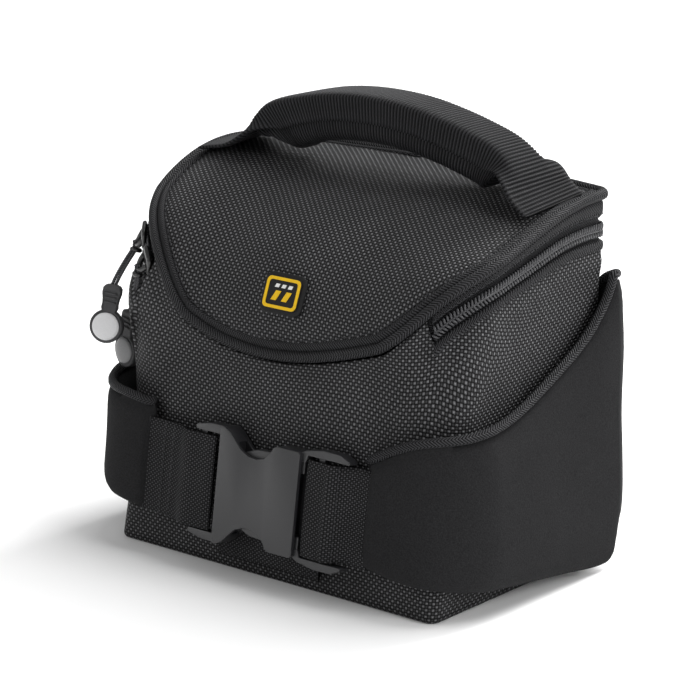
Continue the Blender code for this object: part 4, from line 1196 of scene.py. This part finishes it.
def build_straps():
    """The belt's webbing: each strap leaves its wing and runs in to a bar of the buckle, with the tail behind
    the buckle and the band across the back.
    """
    heights = (0.0178, 0.0178 + WEBBING - 0.0014)
    half = STRAP_THICKNESS / 2
    at_wing = -BELT_FRONT - BELT_STAND_OFF - FRONT_SPLAY * (0.060 - BUCKLE_AT.z) - WING_THICKNESS / 2
    over_bar = BUCKLE_AT.y - 0.0015 - GAP - half - 0.0002
    right_end = belt_point(WING_END, BUCKLE_AT.z, 0).x - GAP
    free = right_end - 0.868 * WEBBING
    path = (
        (right_end + 0.004, at_wing), (right_end - 0.37 * free, at_wing - 0.0004),
        (right_end - 0.87 * free, over_bar - 0.0006), (0.868 * WEBBING, over_bar),
        (0.711 * WEBBING, over_bar), (0.632 * WEBBING, over_bar + 0.0007),
    )
    ribbon("belt_strap_right", path, heights, FRONT_SPLAY, "strap_right")
    left_end = belt_point(WING_END - LEFT_SHORTER, BUCKLE_AT.z, 0).x - GAP
    free = left_end - 0.947 * WEBBING
    path = (
        (-left_end - 0.004, at_wing), (0.28 * free - left_end, at_wing - 0.0004),
        (0.74 * free - left_end, at_wing - 0.0018), (-0.947 * WEBBING, over_bar - 0.0004),
        (-0.789 * WEBBING, over_bar), (-0.658 * WEBBING, over_bar), (-0.584 * WEBBING, over_bar + 0.0005),
    )
    ribbon("belt_strap_left", path, heights, FRONT_SPLAY, "strap_left")
    tail = BUCKLE_AT.y + 0.00425 + GAP + half + 0.0003
    path = [(share * WEBBING, tail) for share in (0.737, 0.289, -0.158, -0.605)]
    ribbon("belt_strap_tail", path, (0.0068, 0.0435), FRONT_SPLAY, "strap_tail")
    reach = BELT_HALF + BELT_STAND_OFF + SIDE_SPLAY * 0.05 + WING_THICKNESS / 2
    path = [(share * reach, BASE_DEPTH / 2 + GAP + half) for share in (1, 0.5, -0.5, -1)]
    ribbon("belt_strap_back", path, (0.030, 0.068), 0, "belt_back")


build_straps()


def bevelled_copy(node, width, finish):
    """A CAD node's own shape, merged and given the small radii of a moulded part."""
    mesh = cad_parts[node].data.copy()
    work = bmesh.new()
    work.from_mesh(mesh)
    bmesh.ops.remove_doubles(work, verts=work.verts, dist=WELD)
    bmesh.ops.dissolve_limit(work, angle_limit=math.radians(3), verts=work.verts, edges=work.edges)
    work.to_mesh(mesh)
    work.free()
    for name in [layer.name for layer in mesh.uv_layers]:
        mesh.uv_layers.remove(mesh.uv_layers[name])
    mesh.shade_smooth()
    bevel(add_piece(f"{node}_moulded", mesh, finish, [node]), width)


def standing_at(place, right, forward):
    """The matrix that sets a plane's X to the right, its Z forward and its origin at a place."""
    return Matrix.Translation(place) @ Matrix((right, forward.cross(right), forward)).transposed().to_4x4()


def extrude(work, outline, low, high, place):
    """Adds an outline in a plane, thickened between two depths, to a bmesh."""
    lower = [work.verts.new(place @ Vector((x, y, low))) for x, y in outline]
    upper = [work.verts.new(place @ Vector((x, y, high))) for x, y in outline]
    work.faces.new(list(reversed(lower)))
    work.faces.new(upper)
    for k in range(len(outline)):
        n = (k + 1) % len(outline)
        work.faces.new((lower[k], lower[n], upper[n], upper[k]))


def plates(name, parts, place, finish, width, nodes=()):
    """One piece from several plates of (outline, low, high), with the small radii of a moulding."""
    work = bmesh.new()
    for outline, low, high in parts:
        extrude(work, outline, low, high, place)
    mesh = mesh_of(work)
    mesh.shade_smooth()
    bevel(add_piece(name, mesh, finish, nodes), width)


def build_insert():
    """The buckle's insert: two arms past the housing, bars for the webbing, and prongs in the notches."""
    forward = Vector((0, -1, FRONT_SPLAY)).normalized()
    right = Vector((1, 0, 0))
    place = standing_at(BUCKLE_AT, right, forward)
    parts = []
    for sign in (1, -1):
        for outline, half in ((INSERT_ARM, 0.0026), (INSERT_PRONG, 0.00225)):
            parts.append(([(x * WEBBING, y * WEBBING * sign) for x, y in outline], -half, half))
    for start, end, half, low, high in INSERT_BARS:
        corners = ((start, -half), (end, -half), (end, half), (start, half))
        parts.append(([(x * WEBBING, y * WEBBING) for x, y in corners], low, high))
    plates("buckle_insert_moulded", parts, place, ACETAL, 0.0005, ["buckle_insert"])


def slanted(left, width, low, high, slant):
    """The corners of a bar that leans to the right."""
    return ((left, low), (left + width, low), (left + width + slant, high), (left + slant, high))


def build_badge_motif():
    """A plain badge: a yellow frame with two slanting bars, and white dashes over them."""
    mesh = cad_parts["badge_face"].data
    faces = [face for face in mesh.polygons if face.normal.y < -0.3 and face.normal.z > 0.15]
    normal = sum((face.normal * face.area for face in faces), Vector((0, 0, 0))).normalized()
    corners = [vertex.co for vertex in mesh.vertices]
    centre = Vector([(min(column) + max(column)) / 2 for column in zip(*corners)])
    centre += normal * (max(p.dot(normal) for p in corners) - centre.dot(normal))
    right = Vector((1, 0, 0))
    right = (right - normal * right.dot(normal)).normalized()
    place = standing_at(centre, right, normal)
    low, high = -0.0008, 0.0001
    outer = rounded_outline(0.0082, 0.0060, 0.0020)
    inner = rounded_outline(0.0070, 0.0048, 0.0012)
    work = bmesh.new()
    count = len(outer)
    loops = []
    for outline, depth in ((outer, low), (outer, high), (inner, high), (inner, low)):
        loops.append([work.verts.new(place @ Vector((x, y, depth))) for x, y in outline])
    for a, b in zip(loops, loops[1:] + loops[:1]):
        for k in range(count):
            work.faces.new((a[k], a[(k + 1) % count], b[(k + 1) % count], b[k]))
    for left in (-0.0046, 0.0006):
        extrude(work, slanted(left, 0.0024, -0.0030, 0.0008, 0.0018), low, high, place)
    add_piece("badge_motif", mesh_of(work), YELLOW, ["badge_face"])
    lefts = (-0.0040, -0.0008, 0.0024)
    dashes = [(slanted(left, 0.0018, 0.0020, 0.0034, 0.0006), low, high) for left in lefts]
    plates("badge_dashes", dashes, place, WHITE, 0.0001)
    field = rounded_outline(0.0083, 0.0061, 0.0020)
    plates("badge_field", [(field, -0.0011, -0.0002)], place, BLACK_RUBBER, 0.0001)


def rounded_outline(half_width, half_height, radius, count=5):
    points = []
    for corner, (sx, sy) in enumerate(((1, 1), (-1, 1), (-1, -1), (1, -1))):
        for k in range(count + 1):
            angle = math.pi / 2 * (corner + k / count)
            x = sx * (half_width - radius) + radius * math.cos(angle)
            points.append((x, sy * (half_height - radius) + radius * math.sin(angle)))
    return points


def build_stitches():
    """Rows of lockstitch: along the flange beside the piping, the zip's tapes and the ends of the straps."""
    flange = []
    for k in steps(-LAST, LAST, 400):
        out = Vector((0.25 * math.copysign(1, k), -0.3, 0.9)).normalized()
        flange.append((lid_edge(k, 0.0057, out * 0.0008), out))
    tapes = []
    for low, out in ((lambda k: band_low(k) + 0.0011, 0.00035), (lambda k: rim_height(k) - 0.0022, 0.00055)):
        row = []
        for k in map(lane, steps(ZIP_FRONT + 0.1, 2 * LAST - ZIP_START - 0.1, 500)):
            near = skin(k, low(k), out)
            row.append((near, (skin(k, low(k), out + 0.001) - near).normalized()))
        tapes.append(row)
    straps = []
    forward = Vector((0, -1, FRONT_SPLAY)).normalized()
    for x, y in STRAP_SEAMS:
        row = []
        for height in steps(0.0188, 0.0532, 60):
            row.append((Vector((x, y + FRONT_SPLAY * (height - BUCKLE_AT.z) - 0.0001, height)), forward))
        straps.append(row)
    stitch = bead(0.0024, 0.00048, 0.00044)
    for name, paths in (("flange", [flange]), ("zip", tapes), ("straps", straps)):
        repeat(f"stitches_{name}", paths, STITCH_PITCH, stitch, THREAD)
    bpy.data.objects.remove(stitch)


bevelled_copy("buckle_housing", 0.0009, ACETAL)
build_insert()
bevelled_copy("mount_plate", 0.0008, PLATE)
bevelled_copy("badge", 0.0004, BLACK_RUBBER)
build_badge_motif()
build_stitches()


# Floor, light and camera


def build_stage():
    mesh = bpy.data.meshes.new("floor")
    mesh.from_pydata([(-6, -6, 0), (6, -6, 0), (6, 6, 0), (-6, 6, 0)], [], [(0, 1, 2, 3)])
    paper = bpy.data.materials.new("paper_backdrop_matt")
    paper.use_nodes = True
    surface = paper.node_tree.nodes["Principled BSDF"].inputs
    surface["Base Color"].default_value = srgb("#f6f6f6")
    surface["Roughness"].default_value = 0.9
    surface["Specular IOR Level"].default_value = 0.1
    mesh.materials.append(paper)
    put("floor", mesh)
    world = bpy.data.worlds.new("studio")
    world.use_nodes = True
    world.node_tree.nodes["Background"].inputs[0].default_value = (1, 1, 1, 1)
    world.node_tree.nodes["Background"].inputs[1].default_value = WORLD_STRENGTH
    scene = bpy.context.scene
    scene.world = world
    sky = bpy.data.lights.new("ceiling", "SUN")
    sky.energy = 1.9
    sky.angle = math.radians(40)
    put("ceiling", sky).rotation_euler = (math.radians(-22), math.radians(12), 0)
    for name, place, size, power in SOFTBOXES:
        light = bpy.data.lights.new(name, "AREA")
        light.shape = "SQUARE"
        light.size = size
        light.energy = power
        lamp = put(name, light)
        lamp.location = place
        lamp.rotation_euler = (LIGHTS_AIM - Vector(place)).to_track_quat("-Z", "Y").to_euler()
    flat = math.cos(CAMERA_ELEVATION)
    aside, ahead = math.sin(CAMERA_AZIMUTH), math.cos(CAMERA_AZIMUTH)
    back = Vector((aside * flat, -ahead * flat, math.sin(CAMERA_ELEVATION)))
    right = Vector((ahead, aside, 0))
    up = back.cross(right)
    camera = bpy.data.cameras.new("camera")
    camera.sensor_width = 36
    camera.lens = CAMERA_LENS
    eye = put("camera", camera)
    across, rise, away = CAMERA_AT
    eye.matrix_world = standing_at(back * away + right * across + up * rise, right, back)
    scene.camera = eye
    scene.view_settings.view_transform = "Standard"


build_stage()
